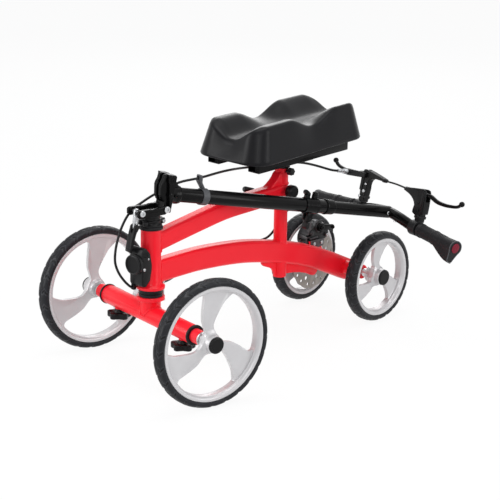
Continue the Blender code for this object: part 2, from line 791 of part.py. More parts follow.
join(lock_lever,
     prism([(clamp_ear_radius + 0.0015, -0.004), (lock_lever_length, -0.003),
            (lock_lever_length + 0.0015, 0.0), (lock_lever_length, 0.003),
            (clamp_ear_radius + 0.0015, 0.004)], -clamp_ear_half, clamp_ear_half, "X"),
     rod(clamp_pin_radius, -clamp_ear_half - 0.001, clamp_ear_half + 0.001, "X", 12))


# Handlebar: the upper tube slides in the column and carries the bar. Local X runs
# across, local Y is rearward and local Z runs up the column, all from the column line.
handlebar_slide = add_empty("handlebar_slide", fold, column_centre)


def on_bar(x, y, z):
    point = folded(x, y, z)
    return Vector((point.x, point.y - column_offset, point.z))


def tube_along(route, radius, steps=16, up=Vector((0.0, 0.0, 1.0))):
    rings = []
    for index, place in enumerate(route):
        ahead = route[min(index + 1, len(route) - 1)] - route[max(index - 1, 0)]
        across = up.cross(ahead).normalized()
        rise = ahead.cross(across).normalized()
        rings.append([place + radius * (cos(2 * pi * step / steps) * across
                                        + sin(2 * pi * step / steps) * rise)
                      for step in range(steps)])
    return loft(rings)


bar_middle = on_bar(0.0, 0.5967, 0.242)
half_bar = [on_bar(0.042, 0.592, 0.2399), on_bar(0.081, 0.592, 0.2324),
            on_bar(0.107, 0.592, 0.2303), on_bar(bar_end, 0.5845, 0.2232)]
bar_points = ([Vector((-point.x, point.y, point.z)) for point in reversed(half_bar)]
              + [bar_middle] + half_bar)
stem_top = bar_middle.z
stem_bore = stem_radius - 0.0015
handlebar = add_piece("handlebar",
                      turned([(0.0, stem_top), (stem_radius, stem_top), (stem_radius, stem_low),
                              (stem_bore, stem_low), (stem_bore, stem_top - 0.03),
                              (0.0, stem_top - 0.03)]), black_paint, handlebar_slide)
join(handlebar, tube_along(smooth_route(bar_points, 0.026), bar_radius))

grip_axis = (half_bar[3] - half_bar[2]).normalized()
grip_height = (half_bar[2].z + half_bar[3].z) / 2
bracket_height = on_bar(0.0, 0.612, 0.290).z
bracket_outline = [(0.034, -0.0616), (0.053, -0.0649), (0.0785, -0.0687), (0.0944, -0.0703),
                   (0.102, -0.0665), (0.105, -0.0511), (0.106, -0.0365), (0.1015, -0.0189),
                   (0.1015, -0.0008), (0.0855, -0.0008), (0.083, -0.0131), (0.072, -0.0175),
                   (0.074, -0.0332), (0.066, -0.0440), (0.052, -0.0515), (0.034, -0.0560)]
blade_pivot = Vector((0.0965, -0.0590, bracket_height))
blade_line = [(0.0965, -0.0590), (0.111, -0.0595), (0.1335, -0.0534), (0.1556, -0.0523),
              (0.1742, -0.0537), (0.1957, -0.0577), (0.206, -0.0645)]
blade_top = 0.0042
flare_outline = [(0.150, 0.004), (0.166, 0.0235), (0.177, 0.0335), (0.190, 0.0405),
                 (0.203, 0.0410), (0.215, 0.0345), (0.2335, 0.0080), (0.2355, 0.0000),
                 (0.232, -0.0085), (0.215, -0.0045), (0.180, 0.000)]
adjuster_place = (-0.146, -0.0528)
adjuster_seat = 0.5705
arm_outline = [(-0.090, -0.0600), (-0.153, -0.0600), (-0.153, -0.0460), (-0.101, -0.0400),
               (-0.090, -0.0400)]


def mirrored(points, side):
    return [(side * first, second) for first, second in points]


for label, side in (("left", 1), ("right", -1)):
    inner = half_bar[2].lerp(half_bar[3], (grip_start - half_bar[2].x)
                             / (half_bar[3].x - half_bar[2].x))
    outer = inner + grip_axis * ((grip_end - 0.003 - grip_start) / grip_axis.x)
    line = [Vector((side * point.x, point.y, point.z)) for point in (inner, outer)]
    middle_back = half_bar[3].y
    grip = add_piece(label + "_grip", tube_along(line, grip_radius), black_plastic,
                     handlebar_slide)
    flare = [(first, middle_back + second) for first, second in flare_outline]
    flare_height = grip_height - 0.002
    join(grip, prism(mirrored(flare, side), flare_height - 0.007, flare_height + 0.007, "Z"))
    bore_line = smooth_route(bar_points, 0.026)
    tip = bar_points[-1] if side > 0 else bar_points[0]
    back = bore_line[-2] if side > 0 else bore_line[1]
    bore_end = tip + (tip - back).normalized() * 0.0015
    bore_line = ([*bore_line[:-1], bore_end] if side > 0 else [bore_end, *bore_line[1:]])
    cut(grip, tube_along(bore_line, bar_radius + gap))

    bracket = add_piece(label + "_brake_bracket",
                        prism(mirrored(bracket_outline, side), bracket_height - bracket_half,
                              bracket_height + bracket_half, "Z"), black_plastic,
                        handlebar_slide)
    clamp_place = half_bar[1].lerp(half_bar[2], (bracket_middle - half_bar[1].x)
                                   / (half_bar[2].x - half_bar[1].x))
    join(bracket, rod(bracket_ring_radius, -bracket_ring_half, bracket_ring_half, "X", 20,
                      (side * bracket_middle, clamp_place.y, clamp_place.z)))
    if side < 0:
        join(bracket, prism(arm_outline, adjuster_seat, bracket_height - bracket_half + 0.002,
                            "Z"))
    slot_ends = sorted((side * 0.0865, side * 0.130))
    cut(bracket, tube_along(smooth_route(bar_points, 0.026), bar_radius + gap),
        block((slot_ends[0], -0.080, bracket_height - blade_half - 0.0016 - gap),
              (slot_ends[1], -0.0455, bracket_height + blade_half + 0.0016 + gap)))
    join(bracket, rod(brake_pivot_radius, -bracket_half + 0.001, bracket_half - 0.001, "Z", 12,
                      (side * blade_pivot.x, blade_pivot.y, bracket_height)))

    squeeze = add_empty(label + "_brake_squeeze", handlebar_slide,
                        (side * blade_pivot.x, blade_pivot.y, bracket_height))
    above = [(first - blade_pivot.x, second - blade_pivot.y - blade_top)
             for first, second in blade_line[1:]]
    below = [(first - blade_pivot.x, second - blade_pivot.y + blade_top)
             for first, second in blade_line[1:]]
    root = arc((0.0, 0.0), 0.0055, 90, 270, 6)
    blade = add_piece(label + "_brake_lever",
                      prism(mirrored(root + above + list(reversed(below)), side),
                            -blade_half - 0.0016, blade_half + 0.0016, "Z"), black_paint,
                      squeeze)
    ball = (side * (blade_line[-1][0] + 0.0005 - blade_pivot.x),
            blade_line[-1][1] - blade_pivot.y - 0.001, 0.0)
    join(blade, turned([(0.0, -0.0062), (0.0035, -0.0055), (0.0058, -0.0025), (0.0058, 0.0025),
                        (0.0035, 0.0055), (0.0, 0.0062)], "Z", 12, ball))
    cut(blade, rod(brake_pivot_radius + gap, -0.02, 0.02, "Z", 12))

add_piece("cable_adjuster",
          turned([(0.0, adjuster_seat - gap), (adjuster_radius, adjuster_seat - gap),
                  (adjuster_radius, adjuster_seat - 0.010), (0.004, adjuster_seat - 0.0112),
                  (0.004, adjuster_seat - adjuster_length), (0.0, adjuster_seat
                                                             - adjuster_length)],
                 "Z", 14, (*adjuster_place, 0.0)), steel, handlebar_slide)

# Cable between the two brake levers
nose = (0.034 - gap, -0.0588, bracket_height)
add_cable("lever_link_cable",
          [(-nose[0], nose[1], nose[2]), (-0.017, -0.0595, bracket_height),
           (0.0, -0.0600, bracket_height), (0.017, -0.0595, bracket_height), nose],
          link_cable_radius, handlebar_slide, cable_skin)

# Main brake cable, from the adjuster over the clip's eye to the splitter box
inlet = Vector((-0.0125, -0.0385 - gap, 0.1870))
to_steering = Matrix.Rotation(-steer_turn, 4, "Z")
inlet_seen = to_steering @ inlet
adjuster_end = Vector((*adjuster_place, adjuster_seat - adjuster_length - gap))
adjuster_end.y += column_offset
main_route = [adjuster_end, adjuster_end - Vector((0.0, 0.0, 0.012)),
              folded(-0.135, 0.463, 0.337),
              folded(-0.120, 0.323, 0.351), folded(-0.060, 0.220, 0.372),
              Vector((0.0, eye_back, clip_post_place)), folded(-0.012, 0.070, 0.380),
              folded(-0.030, 0.022, 0.357), folded(-0.030, -0.004, 0.346),
              folded(-0.0285, -0.0235, 0.338), folded(-0.030, -0.038, 0.319),
              folded(-0.022, -0.059, 0.303), folded(-0.020, -0.0675, 0.2785),
              folded(-0.015, -0.0735, 0.2605), folded(-0.012, -0.074, 0.2375),
              folded(-0.012, -0.068, 0.213), folded(-0.011, -0.063, 0.196),
              folded(*(to_steering @ (inlet - Vector((0.0, 0.010, 0.0))))), folded(*inlet_seen)]
add_cable("main_brake_cable", main_route, cable_radius, fold, cable_skin)


# Main frame: head tube, lower beam, upper arm, seat tube and rear cross tube, welded
def beam_along(route, width, height, corner):
    section = rounded_rectangle(width, height, corner, 2)
    rings = []
    for index, place in enumerate(route):
        ahead = route[min(index + 1, len(route) - 1)] - route[max(index - 1, 0)]
        rise = Vector((1.0, 0.0, 0.0)).cross(ahead).normalized()
        rings.append([place + Vector((across, 0.0, 0.0)) + up * rise
                      for across, up in section])
    return loft(rings)


def behind_seat(share):
    # A place between the seat tube and the rear axle, also a little past the axle.
    return seat_place + share * (wheelbase - seat_place)


beam_height = 0.0462
beam_route = [(0.004, 0.2128), (0.080, 0.2128), (0.141, 0.2111), (seat_place - 0.125, 0.1986),
              (seat_place - 0.031, 0.1788), (behind_seat(0.3266), 0.1518),
              (behind_seat(0.6583), 0.1257), (behind_seat(1.0704), 0.0875)]
arm_route = [(0.010, 0.2730), (0.140, 0.2900), (0.210, 0.2975), (seat_place - 0.095, 0.2990),
             (seat_place, 0.3000)]
rear_height = rear_tyre_radius
main_frame = add_piece("main_frame",
                       beam_along(smooth_route([(0.0, y, z) for y, z in beam_route], 0.045),
                                  beam_width, beam_height, tube_corner), red_paint, walker)
join(main_frame,
     rod(head_radius, head_low, head_high, steps=24),
     rod(head_flange_radius, head_low, head_low + head_flange_height, steps=24),
     beam_along(smooth_route([(0.0, y, z) for y, z in arm_route], 0.06),
                arm_width, arm_height, tube_corner),
     rod(seat_tube_radius, seat_tube_low, seat_tube_high, centre=(0.0, seat_place, 0.0)),
     rod(rear_cross_radius, -rear_cross_half, rear_cross_half, "X",
         centre=(0.0, wheelbase, rear_height)),
     prism([(seat_place - 0.063, 0.3100), (seat_place - 0.045, 0.3195),
            (seat_place - 0.029, 0.3290), (seat_place - 0.019, 0.3380),
            (seat_place - 0.013, 0.3450), (seat_place, 0.3450), (seat_place, 0.3100)],
           -gusset_half, gusset_half, "X"),
     prism([(seat_place - 0.065, 0.1750), (seat_place - 0.0554, 0.1560),
            (seat_place - 0.0234, 0.1295), (seat_place - 0.013, 0.1200),
            (seat_place, 0.1200), (seat_place, 0.1700)], -gusset_half, gusset_half, "X"),
     prism([(seat_place, 0.1600), (seat_place, 0.1170), (behind_seat(0.1874), 0.1180),
            (behind_seat(0.4332), 0.1048), (behind_seat(0.5332), 0.0959),
            (behind_seat(0.5980), 0.1018), (behind_seat(0.6281), 0.1200)],
           -gusset_half, gusset_half, "X"))
caliper_face = -0.058
join(main_frame,
     prism([(wheelbase - 0.012, 0.0980), (wheelbase + 0.012, 0.1000),
            (wheelbase - 0.004, 0.1440), (wheelbase - 0.039, 0.1460),
            (wheelbase - 0.036, 0.1340)], caliper_face + gap, caliper_face + 0.0040 + gap, "X"))
cut(main_frame,
    rod(head_bore, head_low - 0.01, head_high + 0.01, steps=24),
    rod(seat_tube_bore, seat_tube_low + 0.005, seat_tube_high + 0.01,
        centre=(0.0, seat_place, 0.0)),
    rod(axle_radius + gap, -rear_cross_half - 0.01, rear_cross_half + 0.01, "X", 20,
        (0.0, wheelbase, rear_height)))

# Splitter box with its round cover, on the front of the head tube
inlet_low = 0.1825
inlet_back = -0.0310
splitter_box = add_piece("brake_splitter_box",
                         block((-box_half_width, box_front, box_low),
                               (box_half_width, -0.012, box_high)), black_plastic, walker)
bevel = splitter_box.modifiers.new("soft_edges", "BEVEL")
bevel.width = 0.002
bevel.segments = 1
join(splitter_box, block((inlet.x - 0.004, inlet.y + gap, inlet_low),
                         (inlet.x + 0.004, inlet_back, box_low + 0.003)))
cut(splitter_box, rod(head_radius + gap, box_low - 0.02, box_high + 0.02, steps=24))
cover_height = 0.2385
add_piece("splitter_cover",
          turned([(0.0, 0.0), (cover_radius, 0.0), (cover_radius, cover_depth - 0.002),
                  (cover_radius - 0.002, cover_depth), (0.0, cover_depth)], "Y"),
          black_plastic,
          add_empty("cover_face", walker, (0.0, box_front - gap, cover_height),
                    (0.0, 0.0, pi)))

# Rear axle, wheels and brake disc
rear_middle = rear_track / 2
disc_outer = disc_place - disc_thickness / 2
left_spacer = rear_cross_half + 0.017
right_spacer = -disc_outer
spacer_start = rear_cross_half + gap
axle_reach = rear_middle + hub_width / 2 - 0.001
add_piece("rear_axle",
          turned([(0.0, -axle_reach), (axle_radius, -axle_reach), (axle_radius, -right_spacer),
                  (0.009, -right_spacer), (0.009, -spacer_start), (axle_radius, -spacer_start),
                  (axle_radius, spacer_start), (0.009, spacer_start), (0.009, left_spacer),
                  (axle_radius, left_spacer), (axle_radius, axle_reach), (0.0, axle_reach)],
                 "X", 20, (0.0, wheelbase, rear_height)), steel, walker)
add_wheel("rear_left", 1, rear_rim_radius, rear_tyre_radius,
          -(rear_middle - left_spacer - gap), walker, (rear_middle, wheelbase, rear_height))
right_rear = add_wheel("rear_right", -1, rear_rim_radius, rear_tyre_radius,
                       -(rear_middle - right_spacer - gap), walker,
                       (-rear_middle, wheelbase, rear_height))
disc_side = -(rear_middle + disc_place)
disc = add_piece("brake_disc", pipe(disc_radius, disc_bore, disc_side - disc_thickness / 2,
                                    disc_side + disc_thickness / 2, "X", 32),
                 disc_steel, right_rear)
for step in range(disc_holes):
    turn = 2 * pi * (step + 0.37) / disc_holes
    cut(disc, rod(disc_hole_radius, disc_side - 0.01, disc_side + 0.01, "X", 8,
                  (0.0, disc_hole_ring * cos(turn), disc_hole_ring * sin(turn))))

# Brake caliper over the top of the disc, with its swinging arm
caliper = add_piece("brake_caliper",
                    prism([(wheelbase - 0.049, 0.1370), (wheelbase + 0.020, 0.1420),
                           (wheelbase + 0.031, 0.1560), (wheelbase + 0.022, 0.1690),
                           (wheelbase + 0.004, 0.1910), (wheelbase - 0.034, 0.1930),
                           (wheelbase - 0.054, 0.1800), (wheelbase - 0.055, 0.1520)],
                          -0.0865, caliper_face, "X"), disc_steel, walker)
cable_seat = Vector((caliper_face - 0.004, wheelbase - 0.032, 0.203))
join(caliper, rod(0.0035, 0.180, cable_seat.z, "Z", 12, (cable_seat.x, cable_seat.y, 0.0)))
cut(caliper, rod(disc_radius + 0.002, disc_place - 0.0026, disc_place + 0.0026, "X", 40,
                 (0.0, wheelbase, rear_height)))
arm_pivot = (caliper_face + gap, wheelbase - 0.0045, 0.1715)
arm_swing = add_empty("caliper_arm_swing", walker, arm_pivot)
caliper_arm = add_piece("brake_caliper_arm", rod(0.009, 0.0, 0.0085, "X", 20), black_paint,
                        arm_swing)
join(caliper_arm, prism([(0.0, -0.0065), (0.038, -0.0125), (0.0425, -0.0100),
                         (0.0425, -0.0030), (0.038, -0.0005), (0.0, 0.0065)],
                        0.0045, 0.0080, "X"))

# Rear brake cable along the frame
add_cable("rear_brake_cable",
          [(inlet.x, inlet_back + gap, inlet.z), (inlet.x, inlet_back + 0.0035, inlet.z),
           (-0.0235, -0.0215, 0.1865),
           (-0.0305, -0.0040, 0.1790), (-0.0285, 0.0280, 0.1735), (-0.0200, 0.0680, 0.1760),
           (-0.0192, 0.1200, 0.1900), (-0.0190, 0.2000, 0.1980), (-0.0190, 0.3000, 0.2030),
           (-0.0200, seat_place - 0.015, 0.2020), (-0.0350, seat_place + 0.055, 0.2350),
           (-0.0500, wheelbase - 0.084, 0.2500), (-0.0595, wheelbase - 0.044, 0.2370),
           cable_seat + Vector((0.0, 0.0, 0.012)), cable_seat + Vector((0.0, 0.0, gap))],
          cable_radius, walker, cable_skin)

# Seat post, pad carrier and pad
seat_lift = add_empty("seat_lift", walker, (0.0, seat_place, 0.0))
rail_low = pad_low - gap - rail_height
carrier_low = seat_tube_high + gap
add_piece("seat_post", turned([(0.0, post_low), (post_radius, post_low),
                               (post_radius, rail_low - 0.006), (0.0, rail_low - 0.006)]),
          steel, seat_lift)
pad_carrier = add_piece("pad_carrier",
                        block((-rail_outer + 0.004, -0.024, rail_low - 0.005),
                              (rail_outer - 0.004, 0.024, rail_low + 0.002)),
                        black_paint, seat_lift)
for side in (1, -1):
    low, high = sorted((side * rail_inner, side * rail_outer))
    join(pad_carrier, block((low, rail_front - seat_place, rail_low),
                            (high, rail_rear - seat_place, pad_low - gap)))
join(pad_carrier,
     rod(0.0175, carrier_low, rail_low - 0.003))
cut(pad_carrier, rod(post_radius + gap, carrier_low - 0.01, rail_low - 0.006 + gap))

pad_rings = []
for height, inset in ((0.0, 0.004), (0.006, 0.0), (0.044, 0.001), (0.064, 0.008),
                      (pad_height, 0.024)):
    ring = rounded_rectangle(pad_width - 2 * inset, pad_length - 2 * inset, pad_corner - inset,
                             4)
    pad_rings.append([(x, y, pad_low + height) for x, y in ring])
add_piece("knee_pad", loft(pad_rings), pad_skin, seat_lift)

# Seat height controls: a pull pin on the near side, a clamp screw above it and a
# clamp lever on the far side
pin_tip = seat_tube_bore + 0.0005
pull = add_empty("seat_pin_pull", walker, (0.0, seat_place, seat_pin_height))
add_piece("seat_height_pin",
          turned([(0.0, pin_tip), (seat_pin_radius, pin_tip),
                  (seat_pin_radius, seat_knob_near), (seat_knob_radius - 0.002, seat_knob_near),
                  (seat_knob_radius, seat_knob_near + 0.003),
                  (seat_knob_radius, seat_knob_far - 0.003),
                  (seat_knob_radius - 0.003, seat_knob_far), (0.0, seat_knob_far)], "X"),
          black_plastic, pull)

clamp_turn = add_empty("seat_clamp_turn", walker, (0.0, seat_place, clamp_screw_height))
clamp_screw = add_piece("seat_clamp_knob",
                        prism(lobed_outline(clamp_screw_radius, 6, 0.0012, 24), 0.0, 0.012,
                              "X"), black_plastic, clamp_turn, (clamp_screw_near, 0.0, 0.0))
join(clamp_screw, rod(seat_pin_radius, pin_tip - clamp_screw_near, 0.002, "X", 12))

lever_turn = add_empty("seat_lever_turn", walker, (0.0, seat_place, seat_lever_height))
seat_lever = add_piece("seat_clamp_lever",
                       turned([(0.0, pin_tip), (seat_pin_radius, pin_tip),
                               (seat_pin_radius, seat_lever_near), (0.008, seat_lever_near),
                               (0.008, seat_lever_near + 0.014), (0.006, seat_lever_far),
                               (0.0, seat_lever_far)], "X", 16), steel, lever_turn)
seat_lever.rotation_euler = (0.0, 0.0, pi)
lever_line = Vector((0.0, seat_place - lever_tip_place[0],
                     lever_tip_place[1] - seat_lever_height))
lever_middle = Vector((seat_lever_near + 0.008, 0.0, 0.0))
side_up = Vector((1.0, 0.0, 0.0))
join(seat_lever,
     tube_along([lever_middle + lever_line * 0.03, lever_middle + lever_line * 0.75],
                seat_lever_radius, 12, side_up),
     tube_along([lever_middle + lever_line * 0.66, lever_middle + lever_line],
                seat_lever_grip_radius, 12, side_up))

# Holes for the three seat controls, cut last so that each goes through tube and arm
for side, height in ((1, seat_pin_height), (1, clamp_screw_height), (-1, seat_lever_height)):
    low, high = sorted((side * 0.008, side * 0.030))
    cut(main_frame, rod(seat_pin_radius + gap, low, high, "X", 16, (0.0, seat_place, height)))

# The origin goes to the middle of the footprint
bpy.context.view_layer.update()
depsgraph = bpy.context.evaluated_depsgraph_get()
corners = []
for item in bpy.data.objects:
    if item.type in {"MESH", "CURVE"} and not item.hide_render:
        solid = item.evaluated_get(depsgraph)
        mesh = solid.to_mesh()
        corners += [solid.matrix_world @ vertex.co for vertex in mesh.vertices]
        solid.to_mesh_clear()
middle = [(min(corner[axis] for corner in corners) + max(corner[axis] for corner in corners)) / 2
          for axis in range(2)]
walker.location = (-middle[0], -middle[1], -min(corner.z for corner in corners))
bpy.context.view_layer.update()
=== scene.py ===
import json
from math import atan2, cos, pi, radians, sin, sqrt

import bmesh
import bpy
from mathutils import Matrix, Vector

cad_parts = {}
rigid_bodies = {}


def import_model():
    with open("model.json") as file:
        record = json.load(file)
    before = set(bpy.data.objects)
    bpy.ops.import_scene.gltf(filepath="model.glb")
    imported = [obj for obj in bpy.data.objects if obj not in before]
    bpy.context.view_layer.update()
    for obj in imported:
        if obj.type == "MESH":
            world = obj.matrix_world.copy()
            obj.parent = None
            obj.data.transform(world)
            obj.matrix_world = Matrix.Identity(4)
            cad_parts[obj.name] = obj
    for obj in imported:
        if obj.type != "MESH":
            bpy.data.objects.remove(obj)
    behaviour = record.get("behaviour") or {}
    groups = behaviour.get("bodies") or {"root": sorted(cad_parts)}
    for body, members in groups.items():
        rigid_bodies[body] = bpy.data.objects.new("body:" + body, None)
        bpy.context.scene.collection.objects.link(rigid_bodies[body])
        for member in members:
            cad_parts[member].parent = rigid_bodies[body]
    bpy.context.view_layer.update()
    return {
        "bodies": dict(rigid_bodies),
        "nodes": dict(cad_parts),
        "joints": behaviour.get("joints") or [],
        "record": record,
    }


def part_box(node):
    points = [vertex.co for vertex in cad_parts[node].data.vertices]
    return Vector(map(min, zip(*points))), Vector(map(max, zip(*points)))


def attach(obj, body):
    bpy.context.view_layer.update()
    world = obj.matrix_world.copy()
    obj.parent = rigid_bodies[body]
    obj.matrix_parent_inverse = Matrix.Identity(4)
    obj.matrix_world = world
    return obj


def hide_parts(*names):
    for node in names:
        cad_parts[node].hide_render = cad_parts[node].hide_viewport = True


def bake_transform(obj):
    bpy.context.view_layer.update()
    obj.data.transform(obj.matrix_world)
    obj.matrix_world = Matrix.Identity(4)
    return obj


# Knee walker in its stored pose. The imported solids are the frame, and this file puts
# the fine shapes and the finishes over them. Lengths are metres unless a name says mm.
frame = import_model()
print("scene: frame loaded,", len(frame["nodes"]), "nodes")

# Everything is drawn about the steering axis, as the real thing is set out, and moved
# to the row frame by these four places.
headLow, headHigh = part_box("upper_headset_cup")
placing = {
    "headX": (headLow[0] + headHigh[0]) / 2,
    "headY": (headLow[1] + headHigh[1]) / 2,
    "steerTurn": -12.43,        # degrees, front axle turned as photographed
    "pivotForward": 0.023,      # fold pivot ahead of and above the steering axis
    "pivotHeight": 0.341,
    "columnLean": 12.5,
    "columnOffset": -0.0275,
    "seatPlace": 0.385,
    "wheelbase": 0.584,
}
walkerPlace = Matrix.Translation((placing["headX"], placing["headY"], 0.0))
steeredPlace = walkerPlace @ Matrix.Rotation(radians(placing["steerTurn"]), 4, "Z")
pivotPlace = Matrix.Translation((0.0, placing["pivotForward"], placing["pivotHeight"]))
columnTurn = Matrix.Rotation(-radians(placing["columnLean"] + 90.0), 4, "X")
foldPlace = steeredPlace @ pivotPlace @ columnTurn
barPlace = foldPlace @ Matrix.Translation((0.0, placing["columnOffset"], 0.0))
seatPlace = walkerPlace @ Matrix.Translation((0.0, placing["seatPlace"], 0.0))
storedToColumn = (pivotPlace @ columnTurn).inverted()


# ---- materials

def hexColour(text):
    # sRGB hex to the linear colour that a socket takes.
    parts = [int(text[at:at + 2], 16) / 255 for at in (1, 3, 5)]
    return tuple(part / 12.92 if part <= 0.04045 else ((part + 0.055) / 1.055) ** 2.4
                 for part in parts) + (1.0,)


def addNode(tree, kind, settings=None, links=None):
    node = tree.nodes.new(kind)
    for key, value in (settings or {}).items():
        if isinstance(key, str) and hasattr(node, key):
            setattr(node, key, value)
        else:
            node.inputs[key].default_value = value
    for key, source in (links or {}).items():
        tree.links.new(source, node.inputs[key])
    return node


def perMm(size):
    # A texture scale that makes its pattern this many millimetres across.
    return 1000.0 / size


def smoothStep(low, high, value):
    share = min(1.0, max(0.0, (value - low) / (high - low)))
    return share * share * (3.0 - 2.0 * share)


def makeFinish(name, look):
    # A moulded, coated or plated finish: a base colour that drifts a little, a second
    # roughness in patches, a fine grain in the normal, and a painted highlight that mixes
    # sharp edges towards a paler or darker edge colour.
    material = bpy.data.materials.new(name)
    material.use_nodes = True
    tree = material.node_tree
    shader = tree.nodes["Principled BSDF"]
    shader.inputs["Metallic"].default_value = look.get("metallic", 0.0)
    shader.inputs["IOR"].default_value = look.get("ior", 1.5)
    shader.inputs["Specular IOR Level"].default_value = look.get("shine", 0.5)
    shader.inputs["Sheen Weight"].default_value = look.get("sheen", 0.0)
    shader.inputs["Sheen Roughness"].default_value = 0.22
    shader.inputs["Coat Weight"].default_value = look.get("coat", 0.0)
    shader.inputs["Coat Roughness"].default_value = look.get("coatRoughness", 0.05)
    place = addNode(tree, "ShaderNodeTexCoord")
    drift = addNode(tree, "ShaderNodeTexNoise",
                    {"Scale": perMm(look.get("driftMm", 60.0)), "Detail": 4.0},
                    {"Vector": place.outputs["Object"]})
    mixed = addNode(tree, "ShaderNodeMix",
                    {"data_type": "RGBA", 6: hexColour(look["colour"]),
                     7: hexColour(look["second"])}, {0: drift.outputs["Fac"]})
    colour = mixed.outputs[2]
    # Painted highlight: where the mesh is sharp (pointiness) the edge colour is mixed in.
    if "edge" in look:
        bend = addNode(tree, "ShaderNodeNewGeometry")
        sharp = addNode(tree, "ShaderNodeMapRange",
                        {"From Min": look.get("edgeFrom", 0.52),
                         "From Max": look.get("edgeTo", 0.62), "To Max": look["edgeHighlightShare"]},
                        {"Value": bend.outputs["Pointiness"]})
        edgeHighlight = addNode(tree, "ShaderNodeMix", {"data_type": "RGBA", 7: hexColour(look["edge"])},
                       {0: sharp.outputs["Result"], 6: colour})
        colour = edgeHighlight.outputs[2]
    tree.links.new(colour, shader.inputs["Base Color"])
    grain = addNode(tree, "ShaderNodeTexNoise",
                    {"Scale": perMm(look["grainMm"]), "Detail": 3.0, "Roughness": 0.55},
                    {"Vector": place.outputs["Object"]})
    gloss = addNode(tree, "ShaderNodeMapRange",
                    {"To Min": look["roughness"] - look.get("spread", 0.04),
                     "To Max": look["roughness"] + look.get("spread", 0.04)},
                    {"Value": drift.outputs["Fac"]})
    tree.links.new(gloss.outputs["Result"], shader.inputs["Roughness"])
    relief = addNode(tree, "ShaderNodeBump",
                     {"Strength": look.get("bump", 0.2), "Distance": look["reliefMm"] / 1000},
                     {"Height": grain.outputs["Fac"]})
    tree.links.new(relief.outputs["Normal"], shader.inputs["Normal"])
    return material


# In every finish here, "edge" is the colour of a painted highlight on sharp edges.
# Powder coat, sprayed and baked: even red, a wet-looking top and faint orange peel.
redPowderCoat = makeFinish("redPowderCoat", {
    "colour": "#F01A2A", "second": "#E91626", "roughness": 0.34, "spread": 0.03, "driftMm": 90.0,
    "grainMm": 5.0, "reliefMm": 0.08, "bump": 0.10, "coat": 0.08, "coatRoughness": 0.10,
    "shine": 0.15, "edge": "#FA4450", "edgeHighlightShare": 0.35})
# Gloss enamel on steel tube: near black with a clean bright line along each round.
blackEnamel = makeFinish("blackEnamel", {
    "colour": "#0D0C0D", "second": "#090909", "roughness": 0.20, "spread": 0.04, "driftMm": 70.0,
    "grainMm": 4.0, "reliefMm": 0.04, "bump": 0.08, "coat": 0.02, "coatRoughness": 0.06,
    "shine": 0.09, "edge": "#1C1C1D", "edgeHighlightShare": 0.5})
# Injection-moulded glass-filled nylon: black, spark-eroded texture, with a painted grey highlight on
# its edges.
mouldedNylon = makeFinish("mouldedNylon", {
    "colour": "#111112", "second": "#0C0C0D", "roughness": 0.36, "spread": 0.08, "driftMm": 25.0,
    "grainMm": 1.6, "reliefMm": 0.10, "bump": 0.22, "shine": 0.16, "edge": "#303032",
    "edgeHighlightShare": 0.6})
# Grey nylon of the cable clip: dull, with a slight milkiness.
greyNylon = makeFinish("greyNylon", {
    "colour": "#3E3F42", "second": "#343538", "roughness": 0.46, "spread": 0.06, "driftMm": 18.0,
    "grainMm": 1.4, "reliefMm": 0.10, "bump": 0.2, "shine": 0.35, "edge": "#5C5D61",
    "edgeHighlightShare": 0.5})
# Silver-painted cast wheel: pale warm grey with fine flake, satin clear coat.
silverWheelPaint = makeFinish("silverWheelPaint", {
    "colour": "#C9C8C9", "second": "#BAB8BA", "roughness": 0.36, "spread": 0.05, "driftMm": 45.0,
    "grainMm": 2.2, "reliefMm": 0.05, "bump": 0.12, "metallic": 0.30, "coat": 0.15,
    "coatRoughness": 0.2, "shine": 0.4, "edge": "#DEDEDE", "edgeHighlightShare": 0.5})
# Soft-touch grip rubber: matt black, slightly dusty where it is pinched.
gripRubber = makeFinish("gripRubber", {
    "colour": "#1A191B", "second": "#131214", "roughness": 0.50, "spread": 0.08, "driftMm": 20.0,
    "grainMm": 1.8, "reliefMm": 0.15, "bump": 0.25, "shine": 0.16, "edge": "#39393B",
    "edgeHighlightShare": 0.5})
# Zinc-plated steel: cool silver with soft cloudy passivation.
zincSteel = makeFinish("zincSteel", {
    "colour": "#C9CBCD", "second": "#AEB0B3", "roughness": 0.28, "spread": 0.10, "driftMm": 12.0,
    "grainMm": 1.5, "reliefMm": 0.04, "bump": 0.2, "metallic": 1.0, "edge": "#E6E7E8",
    "edgeHighlightShare": 0.5})
# PVC cable jacket: extruded, smooth and a little shiny.
cableJacket = makeFinish("cableJacket", {
    "colour": "#0E0E0F", "second": "#151516", "roughness": 0.32, "spread": 0.06, "driftMm": 30.0,
    "grainMm": 2.0, "reliefMm": 0.05, "bump": 0.15, "shine": 0.20})
# Die-cast calliper body, painted black, with a painted grey highlight on its corners.
castCalliperPaint = makeFinish("castCalliperPaint", {
    "colour": "#121213", "second": "#1B1B1C", "roughness": 0.36, "spread": 0.1, "driftMm": 10.0,
    "grainMm": 1.8, "reliefMm": 0.2, "bump": 0.3, "shine": 0.20, "edge": "#77777A",
    "edgeHighlightShare": 0.8})
# Red acrylonitrile badge in the grip end: clear gloss over a deep red.
redInsert = makeFinish("redInsert", {
    "colour": "#7A1029", "second": "#660B20", "roughness": 0.22, "spread": 0.03, "driftMm": 8.0,
    "grainMm": 2.5, "reliefMm": 0.03, "bump": 0.1, "coat": 0.1, "shine": 0.20})
